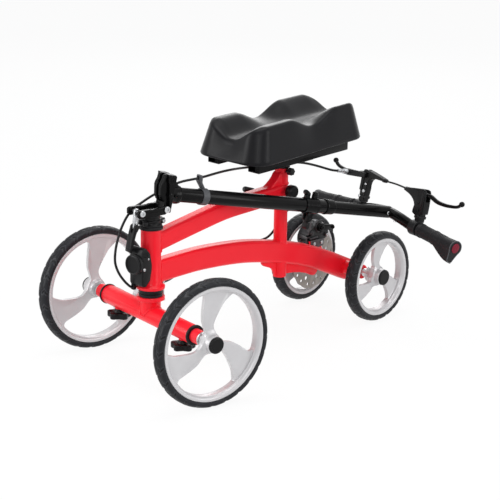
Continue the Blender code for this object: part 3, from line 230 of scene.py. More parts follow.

# Tyre: polyurethane foam rubber. Dark blue-grey black, matt, with paler patches, painted shade in its
# notches and a painted highlight round them.
tyreRubber = makeFinish("tyreRubber", {
    "colour": "#1E1F23", "second": "#141518", "roughness": 0.42, "spread": 0.12, "driftMm": 22.0,
    "grainMm": 2.4, "reliefMm": 0.25, "bump": 0.35, "shine": 0.20, "edge": "#3C3D42",
    "edgeHighlightShare": 0.45})
tyreTree = tyreRubber.node_tree
tyreShader = tyreTree.nodes["Principled BSDF"]
# Painted light from the notch depth: a paler highlight band round each notch, and near black painted
# shade in its bottom.
tyreGroove = addNode(tyreTree, "ShaderNodeAttribute", {"attribute_name": "groove"})
tyreNotchShade = addNode(tyreTree, "ShaderNodeMapRange", {"From Min": 0.25, "From Max": 0.9},
                   {"Value": tyreGroove.outputs["Fac"]})
tyreNotchHighlightShare = addNode(tyreTree, "ShaderNodeMapRange", {"From Min": 0.02, "From Max": 0.25,
                                                    "To Min": 0.0, "To Max": 0.5},
                   {"Value": tyreGroove.outputs["Fac"]})
tyreNotchHighlight = addNode(tyreTree, "ShaderNodeMix", {"data_type": "RGBA", 7: hexColour("#45464B")},
                    {0: tyreNotchHighlightShare.outputs["Result"],
                     6: tyreShader.inputs["Base Color"].links[0].from_socket})
tyreColour = addNode(tyreTree, "ShaderNodeMix", {"data_type": "RGBA", 7: hexColour("#060607")},
                     {0: tyreNotchShade.outputs["Result"], 6: tyreNotchHighlight.outputs[2]})
tyreTree.links.new(tyreColour.outputs[2], tyreShader.inputs["Base Color"])

# Pad: integral-skin foam. A tough moulded skin with a fine leather grain and a soft sheen.
padSkin = makeFinish("padSkin", {
    "colour": "#121215", "second": "#0E0E10", "roughness": 0.33, "spread": 0.05, "driftMm": 60.0,
    "grainMm": 2.0, "reliefMm": 0.20, "bump": 0.25, "shine": 0.13, "sheen": 0.40, "edge": "#26262A",
    "edgeHighlightShare": 0.4})
padTree = padSkin.node_tree
padShader = padTree.nodes["Principled BSDF"]
padCoord = addNode(padTree, "ShaderNodeTexCoord")
padCells = addNode(padTree, "ShaderNodeTexVoronoi", {"feature": "DISTANCE_TO_EDGE",
                                                     "Scale": perMm(3.2)},
                   {"Vector": padCoord.outputs["Object"]})  # grain drawn coarse so it shows
padCrease = addNode(padTree, "ShaderNodeMapRange", {"From Max": 0.12},
                    {"Value": padCells.outputs["Distance"]})
padRelief = addNode(padTree, "ShaderNodeBump", {"Strength": 0.22, "Distance": 0.0002},
                    {"Height": padCrease.outputs["Result"],
                     "Normal": padShader.inputs["Normal"].links[0].from_socket})
padTree.links.new(padRelief.outputs["Normal"], padShader.inputs["Normal"])

# Brake disc: ground stainless steel. Warm grey with fine rings round its axle.
discSteel = makeFinish("discSteel", {
    "colour": "#746D67", "second": "#625B55", "roughness": 0.34, "spread": 0.08, "driftMm": 16.0,
    "grainMm": 1.5, "reliefMm": 0.05, "bump": 0.2, "metallic": 0.85, "edge": "#BDB8B3",
    "edgeHighlightShare": 0.6})
discTree = discSteel.node_tree
discShader = discTree.nodes["Principled BSDF"]
discCoord = addNode(discTree, "ShaderNodeTexCoord")
discCentre = addNode(discTree, "ShaderNodeMapping",
                     {"Location": (0.0, -(placing["headY"] + placing["wheelbase"]), -0.096)},
                     {"Vector": discCoord.outputs["Object"]})
discRings = addNode(discTree, "ShaderNodeTexWave",
                    {"wave_type": "RINGS", "rings_direction": "X", "Scale": perMm(18.0),
                     "Distortion": 0.6, "Detail": 2.0}, {"Vector": discCentre.outputs["Vector"]})
discRelief = addNode(discTree, "ShaderNodeBump", {"Strength": 0.25, "Distance": 0.0001},
                     {"Height": discRings.outputs["Fac"],
                      "Normal": discShader.inputs["Normal"].links[0].from_socket})
discTree.links.new(discRelief.outputs["Normal"], discShader.inputs["Normal"])
print("scene: finishes made")


# ---- shapes

def softenEdges(shape, width, segments=2, sharper=32.0):
    # Rounds every edge that turns by more than the given angle.
    bmesh.ops.recalc_face_normals(shape, faces=shape.faces)
    edges = [edge for edge in shape.edges
             if len(edge.link_faces) == 2 and edge.calc_face_angle(0.0) > radians(sharper)]
    if edges and width > 0.0:
        bmesh.ops.bevel(shape, geom=edges, offset=width, offset_type="OFFSET",
                        segments=segments, profile=0.5, affect="EDGES", clamp_overlap=True,
                        material=-1)
    return shape


def turnToAxis(axis):
    if axis == "X":
        return Matrix.Rotation(pi / 2, 4, "Y")
    if axis == "Y":
        return Matrix.Rotation(-pi / 2, 4, "X")
    return Matrix.Identity(4)


def spunSolid(profile, axis="Z", steps=48, centre=(0.0, 0.0, 0.0), soften=0.0):
    # (radius, height) points spun a full turn. Off the axis they close into a ring.
    shape = bmesh.new()
    points = [shape.verts.new((radius, 0.0, height)) for radius, height in profile]
    edges = [shape.edges.new(pair) for pair in zip(points, points[1:])]
    if profile[0][0] > 0.0 or profile[-1][0] > 0.0:
        edges.append(shape.edges.new((points[-1], points[0])))
    bmesh.ops.spin(shape, geom=points + edges, cent=(0.0, 0.0, 0.0), axis=(0.0, 0.0, 1.0),
                   angle=2 * pi, steps=steps, use_merge=True)
    bmesh.ops.remove_doubles(shape, verts=shape.verts, dist=0.000002)
    softenEdges(shape, soften)
    shape.transform(Matrix.Translation(centre) @ turnToAxis(axis))
    return shape


def rodSolid(radius, low, high, axis="Z", steps=40, centre=(0.0, 0.0, 0.0), soften=0.0004):
    return spunSolid([(0.0, low), (radius, low), (radius, high), (0.0, high)], axis, steps,
                     centre, soften)


def pushedSolid(outline, low, high, axis="X", soften=0.0008, segments=2):
    # A flat outline pushed along one axis. Its numbers are the other two coordinates.
    order = {"X": lambda a, b, d: (d, a, b), "Y": lambda a, b, d: (a, d, b),
             "Z": lambda a, b, d: (a, b, d)}[axis]
    shape = bmesh.new()
    face = shape.faces.new([shape.verts.new(order(a, b, low)) for a, b in outline])
    grown = bmesh.ops.extrude_face_region(shape, geom=[face])
    raised = [item for item in grown["geom"] if isinstance(item, bmesh.types.BMVert)]
    bmesh.ops.translate(shape, verts=raised, vec=order(0.0, 0.0, high - low))
    return softenEdges(shape, soften, segments)


def boxSolid(low, high, soften=0.0008, segments=2):
    outline = [(low[1], low[2]), (high[1], low[2]), (high[1], high[2]), (low[1], high[2])]
    return pushedSolid(outline, low[0], high[0], "X", soften, segments)


def arcPoints(centre, radius, start, end, steps=12):
    turn = (end - start) / steps
    return [(centre[0] + radius * cos(radians(start + turn * step)),
             centre[1] + radius * sin(radians(start + turn * step)))
            for step in range(steps + 1)]


def roundedSection(width, height, corner, steps=6):
    across, along = width / 2 - corner, height / 2 - corner
    points = []
    for signX, signY, start in ((1, 1, 0), (-1, 1, 90), (-1, -1, 180), (1, -1, 270)):
        points += arcPoints((signX * across, signY * along), corner, start, start + 90, steps)
    return points


def roundSection(radius, steps=32):
    return [(radius * cos(2 * pi * step / steps), radius * sin(2 * pi * step / steps))
            for step in range(steps)]


def smoothRoute(points, spacing, closed=False):
    # A smooth curve through the points, read off at an even spacing.
    knots = [Vector(point) for point in points]
    if closed:
        ends = [knots[-1]] + knots + [knots[0], knots[1]]
    else:
        ends = [2 * knots[0] - knots[1]] + knots + [2 * knots[-1] - knots[-2]]
    dense = []
    for index in range(1, len(ends) - 2):
        before, start, end, after = ends[index - 1:index + 3]
        times = [0.0]
        for left, right in ((before, start), (start, end), (end, after)):
            times.append(times[-1] + (right - left).length ** 0.5)
        for step in range(20):
            time = times[1] + (times[2] - times[1]) * step / 20
            first = before.lerp(start, (time - times[0]) / (times[1] - times[0]))
            second = start.lerp(end, (time - times[1]) / (times[2] - times[1]))
            third = end.lerp(after, (time - times[2]) / (times[3] - times[2]))
            near = first.lerp(second, (time - times[0]) / (times[2] - times[0]))
            far = second.lerp(third, (time - times[1]) / (times[3] - times[1]))
            dense.append(near.lerp(far, (time - times[1]) / (times[2] - times[1])))
    dense.append(knots[0] if closed else knots[-1])
    lengths = [0.0]
    for left, right in zip(dense, dense[1:]):
        lengths.append(lengths[-1] + (right - left).length)
    count = max(2, round(lengths[-1] / spacing))
    route, index = [], 0
    for step in range(count if closed else count + 1):
        target = lengths[-1] * step / count
        while index < len(lengths) - 2 and lengths[index + 1] < target:
            index += 1
        share = (target - lengths[index]) / (lengths[index + 1] - lengths[index])
        route.append(dense[index].lerp(dense[index + 1], min(1.0, share)))
    return route


def smoothOutline(points, spacing):
    # A closed outline rounded through its points.
    return [(place.x, place.y) for place in
            smoothRoute([(first, second, 0.0) for first, second in points], spacing, True)]


def framesAlong(route, up):
    frames = []
    for index, place in enumerate(route):
        ahead = (route[min(index + 1, len(route) - 1)] - route[max(index - 1, 0)]).normalized()
        across = up.cross(ahead).normalized()
        rise = ahead.cross(across).normalized()
        frames.append(Matrix(((across.x, rise.x, ahead.x, place.x),
                              (across.y, rise.y, ahead.y, place.y),
                              (across.z, rise.z, ahead.z, place.z), (0.0, 0.0, 0.0, 1.0))))
    return frames


def sweptSolid(route, section, up=(0.0, 0.0, 1.0), shares=None, soften=0.0, capped=True,
               closed=False):
    # The section is drawn once, then extruded from one place of the route to the next.
    # shares gives the section's width and height at each place.
    frames = framesAlong(route, Vector(up))
    if closed:
        count = len(route)
        looped = [route[-1]] + list(route) + [route[0]]
        frames = framesAlong(looped, Vector(up))[1:count + 1]
    if shares:
        frames = [frame @ Matrix.Diagonal((wide, high, 1.0, 1.0))
                  for frame, (wide, high) in zip(frames, shares)]
    shape = bmesh.new()
    ring = [shape.verts.new(frames[0] @ Vector((a, b, 0.0))) for a, b in section]
    edges = [shape.edges.new((ring[index], ring[(index + 1) % len(ring)]))
             for index in range(len(ring))]
    firstEdges = list(edges)
    before = frames[0]
    for following in frames[1:]:
        grown = bmesh.ops.extrude_edge_only(shape, edges=edges)["geom"]
        fresh = [item for item in grown if isinstance(item, bmesh.types.BMVert)]
        edges = [item for item in grown if isinstance(item, bmesh.types.BMEdge)]
        bmesh.ops.transform(shape, matrix=following @ before.inverted(), verts=fresh)
        before = following
    if closed:
        bmesh.ops.bridge_loops(shape, edges=firstEdges + edges)
    elif capped:
        bmesh.ops.holes_fill(shape, edges=shape.edges, sides=0)
    if soften > 0.0:
        return softenEdges(shape, soften, 3, 60.0)
    bmesh.ops.recalc_face_normals(shape, faces=shape.faces)
    return shape


def meshOf(shape, name):
    bmesh.ops.recalc_face_normals(shape, faces=shape.faces)
    mesh = bpy.data.meshes.new(name)
    shape.to_mesh(mesh)
    shape.free()
    return mesh


def combined(base, operation, *tools):
    # The shapes are joined or cut with exact Booleans, and come back as one shape.
    body = bpy.data.objects.new("working", meshOf(base, "working"))
    bpy.context.collection.objects.link(body)
    helpers = []
    for tool in tools:
        helper = bpy.data.objects.new("tool", meshOf(tool, "tool"))
        bpy.context.collection.objects.link(helper)
        helpers.append(helper)
        modifier = body.modifiers.new("step", "BOOLEAN")
        modifier.operation = operation
        modifier.solver = "EXACT"
        modifier.object = helper
    bpy.context.view_layer.update()
    solid = body.evaluated_get(bpy.context.evaluated_depsgraph_get())
    shape = bmesh.new()
    shape.from_mesh(solid.to_mesh())
    solid.to_mesh_clear()
    for spent in [body] + helpers:
        mesh = spent.data
        bpy.data.objects.remove(spent, do_unlink=True)
        bpy.data.meshes.remove(mesh)
    return shape


def joinShapes(base, *tools):
    return combined(base, "UNION", *tools)


def cutShapes(base, *tools):
    return combined(base, "DIFFERENCE", *tools)


def gather(*shapes):
    # Several closed shapes kept in one mesh, such as a part and its small screws.
    whole = shapes[0]
    for shape in shapes[1:]:
        mesh = meshOf(shape, "gathered")
        whole.from_mesh(mesh)
        bpy.data.meshes.remove(mesh)
    return whole


def hexHead(radius, low, high, axis="X", centre=(0.0, 0.0, 0.0)):
    # A socket screw head: a domed round with a six-sided pocket.
    head = spunSolid([(0.0, low), (radius, low), (radius, high - 0.0006), (radius - 0.0006, high),
                      (0.0, high)], axis, 32, centre, 0.0)
    pocket = spunSolid([(0.0, high - 0.0014), (radius * 0.5, high - 0.0014),
                        (radius * 0.5, high + 0.002), (0.0, high + 0.002)], axis, 6, centre, 0.0)
    return cutShapes(head, pocket)


def addPiece(name, shape, finish, body, place=None, nodes=(), sharpest=34.0):
    bmesh.ops.recalc_face_normals(shape, faces=shape.faces)
    if shape.calc_volume(signed=True) < 0.0:
        bmesh.ops.reverse_faces(shape, faces=shape.faces)
    if place is not None:
        shape.transform(place)
    mesh = bpy.data.meshes.new(name)
    shape.to_mesh(mesh)
    shape.free()
    mesh.shade_smooth()
    mesh.set_sharp_from_angle(angle=radians(sharpest))
    mesh.materials.append(finish)
    piece = bpy.data.objects.new(name, mesh)
    bpy.context.collection.objects.link(piece)
    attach(piece, body)
    if nodes:
        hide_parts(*nodes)
    return piece


# ---- wheels: drawn with the axle along X and the outer face at +X

wheel = {
    "tyreWidth": 0.028, "rimWidth": 0.0256, "lip": 0.0095, "webFront": 0.0010, "webBack": -0.0075,
    "hubRadius": 0.0170, "hubWidth": 0.032, "bore": 0.0063,
    "capRadius": 0.0165, "capDepth": 0.0045,
    "notches": 24, "notchDepth": 0.0016, "steps": 288,
}


def tyreShape(rimRadius, tyreRadius):
    seat = rimRadius + 0.0003
    half = wheel["tyreWidth"] / 2
    side = [(seat, half - 0.0022), (seat + 0.0012, half - 0.0008), (seat + 0.0035, half),
            (tyreRadius - 0.0060, half - 0.0001), (tyreRadius - 0.0042, half - 0.0010),
            (tyreRadius - 0.0026, half - 0.0026), (tyreRadius - 0.0013, half - 0.0048),
            (tyreRadius - 0.0005, half - 0.0074), (tyreRadius, half - 0.0105)]
    tread = [(tyreRadius, 0.0046), (tyreRadius, 0.0012), (tyreRadius - 0.0009, 0.0006)]
    oneSide = side + tread
    profile = oneSide + [(radius, -across) for radius, across in reversed(oneSide)]
    shape = spunSolid(profile, "X", wheel["steps"])
    # Shallow bent notches in both shoulders of the tread, half a pitch apart. Their depth
    # is kept on the mesh, where the rubber reads it for painted shade in the notches and a paler
    # painted highlight round them.
    groove = shape.verts.layers.float.new("groove")
    for point in shape.verts:
        radius = sqrt(point.co.y ** 2 + point.co.z ** 2)
        edge = abs(point.co.x)
        if radius < tyreRadius - 0.0085 or edge < 0.0020:
            continue
        turn = atan2(point.co.z, point.co.y) / (2 * pi) * wheel["notches"]
        turn += (0.5 if point.co.x > 0 else 0.0) + abs(edge - 0.0090) * 42.0
        deep = 1.0 - smoothStep(0.05, 0.13, abs((turn % 1.0) - 0.5))
        point[groove] = deep
        point.co.y *= 1.0 - deep * wheel["notchDepth"] / radius
        point.co.z *= 1.0 - deep * wheel["notchDepth"] / radius
    return shape


def rimShape(rimRadius, hubInner):
    # A ring with a hooked lip each side, a web between, and three swirled windows in it.
    half, hub = wheel["rimWidth"] / 2, wheel["hubRadius"]
    lip, out = rimRadius - wheel["lip"], wheel["hubWidth"] / 2
    front, back = wheel["webFront"], wheel["webBack"]
    edge = [(lip + 0.0006, half - 0.0040), (lip + 0.0022, half - 0.0012), (lip + 0.0034, half - 0.0004),
            (lip + 0.0046, half), (rimRadius - 0.0008, half), (rimRadius, half - 0.0008)]
    outside = [(lip - 0.0004, front + 0.0060), (lip - 0.0016, front + 0.0054),
               (lip - 0.0020, front + 0.0008), (lip - 0.0034, front), (lip - 0.030, front - 0.0010),
               (hub + 0.012, front - 0.0004), (hub + 0.0040, front + 0.0012),
               (hub + 0.0008, front + 0.0044), (hub, out - 0.0014), (hub - 0.0012, out)]
    profile = [(wheel["bore"], hubInner), (hub - 0.0015, hubInner), (hub - 0.0005, hubInner + 0.001)]
    if hubInner < back - 0.006:
        profile += [(hub, back - 0.0042), (hub + 0.0020, back - 0.0014), (hub + 0.008, back)]
    profile += [(lip - 0.0022, back)]
    profile += [(radius, -across) for radius, across in edge]
    profile += list(reversed(edge)) + outside + [(wheel["bore"], out)]
    rim = spunSolid(profile, "X", 120)
    inner = hub + 0.0030
    reach = 1.0 - (wheel["lip"] + 0.0010) / rimRadius
    corners = [(112.0, 0.42), (106.0, 0.58), (102.0, 0.70), (99.0, 0.84),
               (101.0, reach - 0.012)]
    corners += [(107.0 + 68.0 * step / 6, reach) for step in range(7)]
    corners += [(181.0, reach - 0.012), (183.5, 0.84), (188.0, 0.72), (191.0, 0.60),
                (197.0, 0.42), (200.0, 0.30), (184.0, inner / rimRadius + 0.02),
                (150.0, inner / rimRadius), (122.0, inner / rimRadius + 0.03), (114.0, 0.31)]
    windows = []
    for turn in (0.4, 120.4, 240.4):
        outline = smoothOutline([(rimRadius * share * cos(radians(angle + turn)),
                                  rimRadius * share * sin(radians(angle + turn)))
                                 for angle, share in corners], 0.0028)
        windows.append(pushedSolid(outline, -wheel["rimWidth"], wheel["rimWidth"], "X", 0.0))
    return rim, gather(*windows)


def makeWheel(label, body, rimRadius, tyreRadius, hubInner, side, place, steered):
    # side is 1 on the rider's left. On the right the wheel is turned round its axle.
    seat = (steeredPlace if steered else walkerPlace) @ Matrix.Translation(place)
    turned = Matrix.Rotation(0.0 if side > 0 else pi, 4, "Z")
    rim, windows = rimShape(rimRadius, hubInner)
    rim = softenEdges(cutShapes(rim, windows), 0.0011, 2, 55.0)
    if side < 0:
        rim.transform(Matrix.Diagonal((1.0, -1.0, 1.0, 1.0)))
    addPiece(label + "Rim", rim, silverWheelPaint, body, seat @ turned, [label + "_rim"])
    addPiece(label + "Tyre", tyreShape(rimRadius, tyreRadius), tyreRubber, body, seat @ turned,
             [label + "_tire"], 28.0)
    low = wheel["hubWidth"] / 2 + 0.0003
    top, radius = low + wheel["capDepth"], wheel["capRadius"]
    cap = spunSolid([(0.0, low), (radius, low), (radius, low + 0.0024), (radius - 0.0006, top - 0.0010),
                     (radius - 0.0020, top - 0.0002), (radius - 0.0034, top),
                     (radius - 0.0040, top - 0.0006), (radius - 0.0052, top - 0.0006),
                     (0.0, top - 0.0003)], "X", 64)
    addPiece(label + "HubCap", cap, mouldedNylon, body, seat @ turned, [label + "_hub_cap"])


makeWheel("front_left", "front_left_wheel", 0.1138, 0.127, -0.016, 1, (0.206, 0.0, 0.127), True)
makeWheel("front_right", "front_right_wheel", 0.1138, 0.127, -0.016, -1, (-0.206, 0.0, 0.127),
          True)
makeWheel("rear_left", "rear_left_wheel", 0.083, 0.096, -(0.102 - 0.0795 - 0.0003), 1,
          (0.102, placing["wheelbase"], 0.096), False)
makeWheel("rear_right", "rear_right_wheel", 0.083, 0.096, -(0.102 - 0.0774 - 0.0003), -1,
          (-0.102, placing["wheelbase"], 0.096), False)
print("scene: wheels made")


# ---- front axle: the tube, its bushings, the sliding half axles and the hand screws

axle = {
    "height": 0.127, "tubeRadius": 0.019, "wall": 0.002, "tubeHalf": 0.150,
    "innerRadius": 0.01425, "innerStart": 0.070, "innerEnd": 0.1778,
    "spacerRadius": 0.0095, "spacerEnd": 0.1897, "spindleEnd": 0.221, "spindleRadius": 0.006,
    "knobPlace": 0.113, "knobRadius": 0.025, "knobTop": 0.101, "knobDeep": 0.012,
}


def weldBead(points, radius, up=(0.0, 0.0, 1.0), closed=True):
    # A ripple of overlapping weld pools laid along a joint.
    route = smoothRoute(points, 0.0016, closed)
    shares = [(1.0 + 0.10 * sin(index * 2.1), 1.0 + 0.10 * sin(index * 2.1))
              for index in range(len(route))]
    return sweptSolid(route, roundSection(radius, 10), up, shares, closed=closed)


def lobedOutline(radius, lobes, depth, steps):
    reach = [radius - depth * (0.5 - 0.5 * cos(lobes * 2 * pi * step / steps))
             for step in range(steps)]
    return [(reach[step] * cos(2 * pi * step / steps), reach[step] * sin(2 * pi * step / steps))
            for step in range(steps)]


tubeHigh, half = axle["height"], axle["tubeHalf"]
crossTube = spunSolid([(axle["tubeRadius"], -half), (axle["tubeRadius"], half),
                       (axle["tubeRadius"] - axle["wall"], half),
                       (axle["tubeRadius"] - axle["wall"], -half)], "X", 64,
                      (0.0, 0.0, tubeHigh), 0.0005)
crown = spunSolid([(0.0, tubeHigh), (0.0200, tubeHigh), (0.0200, 0.1555), (0.0212, 0.1575),
                   (0.0262, 0.1582), (0.0278, 0.1590), (0.0278, 0.1650), (0.0268, 0.1660),
                   (0.0127, 0.1660), (0.0127, 0.3307), (0.0, 0.3307)], "Z", 64)
crossmember = joinShapes(crossTube, crown)
saddle = [(0.0202 * cos(turn), 0.0202 * sin(turn),
           tubeHigh + sqrt(max(0.0, 0.0193 ** 2 - (0.0202 * sin(turn)) ** 2)) * 0.98)
          for turn in [2 * pi * step / 28 for step in range(28)]]
crossmember = gather(crossmember, weldBead(saddle, 0.0020))
for side in (1, -1):
    # Threaded boss that the hand screw runs in.
    crossmember = gather(crossmember, spunSolid(
        [(0.0050, 0.1045), (0.0085, 0.1045), (0.0085, 0.1095), (0.0050, 0.1095)], "Z", 32,
        (side * axle["knobPlace"], 0.0, 0.0), 0.0005))
addPiece("frontAxleCrossmember", crossmember, redPowderCoat, "steering", steeredPlace,
         ["front_axle_crossmember"])

for label, turn in (("left", 0.0), ("right", pi)):
    around = steeredPlace @ Matrix.Translation((0.0, 0.0, tubeHigh)) @ Matrix.Rotation(turn, 4, "Z")
    bushing = spunSolid([(0.01455, 0.1303), (0.0167, 0.1303), (0.0167, 0.1503), (0.0202, 0.1503),
                         (0.0205, 0.1511), (0.0205, 0.1537), (0.0198, 0.1548), (0.0165, 0.1552),
                         (0.01455, 0.1550)], "X", 64)
    addPiece(label + "AxleBushing", bushing, mouldedNylon, "steering", around,
             [label + "_axle_bushing"])
    inner = axle["innerRadius"]
    slider = spunSolid([(inner, axle["innerStart"]), (inner, axle["innerEnd"] - 0.0004),
                        (inner - 0.0004, axle["innerEnd"]), (inner - 0.002, axle["innerEnd"]),
                        (inner - 0.002, axle["innerStart"])], "X", 64)
    addPiece(label + "InnerAxleTube", slider, redPowderCoat, label + "_half_axle", around,
             [label + "_inner_axle_tube"])
    end, spacer = axle["innerEnd"], axle["spacerRadius"]
    spindle = spunSolid([(0.0, end - 0.015), (0.0118, end - 0.015), (0.0118, end + 0.0003),
                         (inner, end + 0.0003), (inner, end + 0.0022), (inner - 0.0008, end + 0.003),
                         (spacer + 0.0010, end + 0.0036), (spacer, end + 0.0046),
                         (spacer, axle["spacerEnd"] - 0.0005), (spacer - 0.0005, axle["spacerEnd"]),
                         (0.006, axle["spacerEnd"]), (0.006, axle["spindleEnd"] - 0.0008),
                         (0.0052, axle["spindleEnd"]), (0.0, axle["spindleEnd"])], "X", 48)
    addPiece(label + "WheelSpindle", spindle, zincSteel, label + "_half_axle", around,
             [label + "_wheel_spindle"])
    knobPlace = steeredPlace @ Matrix.Translation(
        (axle["knobPlace"] * (1 if label == "left" else -1), 0.0, 0.0))
    top, deep = axle["knobTop"], axle["knobDeep"]
    knob = pushedSolid(lobedOutline(axle["knobRadius"], 5, 0.006, 120), top - deep, top, "Z",
                       0.0022, 3)
    knob = gather(knob, spunSolid([(0.0, top - 0.004), (0.0125, top - 0.004), (0.0118, top),
                                   (0.0092, 0.1042), (0.0086, 0.1072), (0.004, 0.1074),
                                   (0.004, 0.1124), (0.0, 0.1124)], "Z", 40))
    knob = cutShapes(knob, spunSolid([(0.0, top - deep - 0.001), (0.0105, top - deep - 0.001),
                                      (0.0095, top - deep + 0.0012), (0.0, top - deep + 0.0012)],
                                     "Z", 48))
    addPiece(label + "AxleKnob", knob, mouldedNylon, label + "_axle_screw", knobPlace,
             [label + "_axle_knob"])
print("scene: front axle made")


# ---- steering head: cups, lock collar, yoke, its pins and the latch

head = {
    "crownTop": 0.166, "low": 0.181, "high": 0.302, "radius": 0.020, "bore": 0.0155,
    "flange": 0.0280, "cupRadius": 0.0235, "collarRadius": 0.023, "collarHigh": 0.3307,
    "yokeLow": 0.331, "yokeTop": 0.347, "yokeHalf": 0.0205, "slotHalf": 0.0145,
    "yokeFront": -0.043, "pivotHeight": 0.341, "latchPinY": -0.034, "linkLong": 0.032,
}
lowerCup = spunSolid([(0.0130, 0.1663), (0.0235, 0.1663), (0.0235, 0.1715), (0.0225, 0.1722),
                      (0.0225, 0.1738), (0.0235, 0.1745), (0.0235, 0.1800), (0.0228, 0.1807),
                      (0.0152, 0.1807), (0.0152, 0.187), (0.0130, 0.187)], "Z", 64)
addPiece("lowerHeadsetCup", lowerCup, mouldedNylon, "frame", walkerPlace, ["lower_headset_cup"])
upperCup = spunSolid([(0.0130, 0.296), (0.0152, 0.296), (0.0152, 0.3023), (0.0235, 0.3023),
                      (0.0237, 0.3032), (0.0237, 0.3062), (0.0222, 0.3080), (0.0130, 0.3080)],
                     "Z", 64)
addPiece("upperHeadsetCup", upperCup, mouldedNylon, "frame", walkerPlace, ["upper_headset_cup"])

collarShape = spunSolid([(0.0130, 0.3083), (0.0208, 0.3083), (0.0215, 0.3091), (0.0215, 0.3116),
                         (0.0192, 0.3130), (0.0180, 0.3150), (0.0180, 0.3162), (0.0196, 0.3172),
                         (0.0200, 0.3180), (0.0200, 0.3206), (0.0192, 0.3214), (0.0176, 0.3222),
                         (0.0172, 0.3236), (0.0172, 0.3262), (0.0180, 0.3270), (0.0180, 0.3300),
                         (0.0174, 0.3307), (0.0130, 0.3307)], "Z", 64)
collarShape = cutShapes(collarShape, boxSolid((-0.0008, 0.0118, 0.3075), (0.0008, 0.026, 0.332),
                                              0.0))
clampLugs = [boxSolid((low, 0.0150, 0.3100), (low + 0.0060, 0.0285, 0.3210), 0.0014, 3)
             for low in (-0.0072, 0.0012)]
clampLugs += [boxSolid((low, -0.0235, 0.3102), (low + 0.0110, -0.0150, 0.3205), 0.0024, 3)
              for low in (-0.0160, 0.0040)]
collarShape = gather(collarShape, *clampLugs)
addPiece("headsetLockCollar", collarShape, mouldedNylon, "steering", steeredPlace,
         ["headset_lock_collar"])
addPiece("lockCollarBolt", gather(
    hexHead(0.0036, 0.0072, 0.0102, "X", (0.0, 0.0242, 0.3155)),
    rodSolid(0.0024, -0.0100, 0.0075, "X", 24, (0.0, 0.0242, 0.3155))), zincSteel, "steering",
    steeredPlace, ())

top, low, drop = head["yokeTop"], head["yokeLow"], 0.006
yokeOutline = ([(head["yokeFront"] + 0.004, low), (0.0190, low + 0.0005)]
               + arcPoints((0.023, head["pivotHeight"]), drop, -60, 90, 14)
               + [(0.006, top), (0.002, top - 0.0010), (-0.012, top - 0.0010), (-0.016, top)]
               + arcPoints((head["yokeFront"] + 0.005, top - 0.005), 0.005, 90, 180, 8)
               + [(head["yokeFront"], low + 0.004)])
yokeShape = pushedSolid(yokeOutline, -head["yokeHalf"], head["yokeHalf"], "X", 0.0)
slot = head["slotHalf"]
yokeShape = cutShapes(
    yokeShape,
    boxSolid((-slot, head["yokeFront"] - 0.01, low + 0.005), (slot, 0.043, top + 0.01), 0.0),
    boxSolid((-slot, head["yokeFront"] - 0.01, low - 0.01), (slot, -0.021, top + 0.01), 0.0),
    boxSolid((-slot, 0.016, low - 0.01), (slot, 0.043, top + 0.01), 0.0),
    rodSolid(0.0033, -0.03, 0.03, "X", 32, (0.0, 0.023, head["pivotHeight"]), 0.0),
    rodSolid(0.0028, -0.03, 0.03, "X", 32, (0.0, head["latchPinY"], head["pivotHeight"]), 0.0))
yokeShape = softenEdges(yokeShape, 0.0008, 2, 40.0)
addPiece("steeringYoke", yokeShape, blackEnamel, "steering", steeredPlace, ["steering_yoke"])

for name, node, radius, headRadius, middle in (
        ("foldPivotBolt", "fold_pivot_bolt", 0.003, 0.0064, 0.023),
        ("latchPin", "latch_pin", 0.0025, 0.0060, head["latchPinY"])):
    reach = head["yokeHalf"] + 0.0003
    centre = (0.0, middle, head["pivotHeight"])
    pin = gather(rodSolid(radius, -reach - 0.001, reach + 0.001, "X", 32, centre),
                 hexHead(headRadius, reach, reach + 0.0030, "X", centre),
                 spunSolid([(0.0, -reach - 0.003), (headRadius - 0.0008, -reach - 0.003),
                            (headRadius, -reach - 0.0022), (headRadius, -reach), (0.0, -reach)],
                           "X", 6, centre))
    addPiece(name, pin, zincSteel, "steering", steeredPlace, [node])

# Swinging link, and the cam lever that pulls the column down on the yoke
latchPlace = steeredPlace @ Matrix.Translation((0.0, head["latchPinY"], head["pivotHeight"]))
lean, linkLong = 0.003, head["linkLong"]
linkAngle = 180.0 + 84.64
linkOutline = (arcPoints((0.0, 0.0), 0.0055, linkAngle + 90, linkAngle + 270, 14)
               + arcPoints((-lean, -linkLong), 0.0048, linkAngle - 90, linkAngle + 90, 14))
linkShape = pushedSolid(linkOutline, -0.003, 0.003, "X", 0.0)
linkShape = softenEdges(cutShapes(
    linkShape, rodSolid(0.0028, -0.01, 0.01, "X", 28, (0.0, 0.0, 0.0), 0.0),
    rodSolid(0.0028, -0.01, 0.01, "X", 28, (0.0, -lean, -linkLong), 0.0)), 0.0005, 2, 50.0)
thread = [(0.0030 + (0.0004 if step % 2 else 0.0), -0.026 + step * 0.0012) for step in range(15)]
linkShape = gather(linkShape, spunSolid([(0.0, -0.026)] + thread + [(0.0, thread[-1][1])], "Z",
                                        24, (0.0, -0.0014, 0.0)))
addPiece("latchLink", linkShape, zincSteel, "latch_swing_link", latchPlace, ["latch_link"])
leverPlace = latchPlace @ Matrix.Translation((0.0, -lean, -linkLong))
leverOutline = (arcPoints((0.0, 0.0), 0.0068, 20, 180, 14)
                + [(-0.0103, -0.012), (-0.0142, -0.028), (-0.0170, -0.043), (-0.0172, -0.0455),
                   (-0.0155, -0.0470), (-0.0125, -0.0465), (-0.0100, -0.0400), (-0.0075, -0.028),
                   (-0.002, -0.010)])
leverShape = pushedSolid(leverOutline, -0.009, 0.009, "X", 0.0)
leverShape = softenEdges(cutShapes(leverShape, boxSolid((-0.0033, -0.0112, -0.0085),
                                                        (0.0033, 0.02, 0.02), 0.0)),
                         0.0012, 3, 40.0)
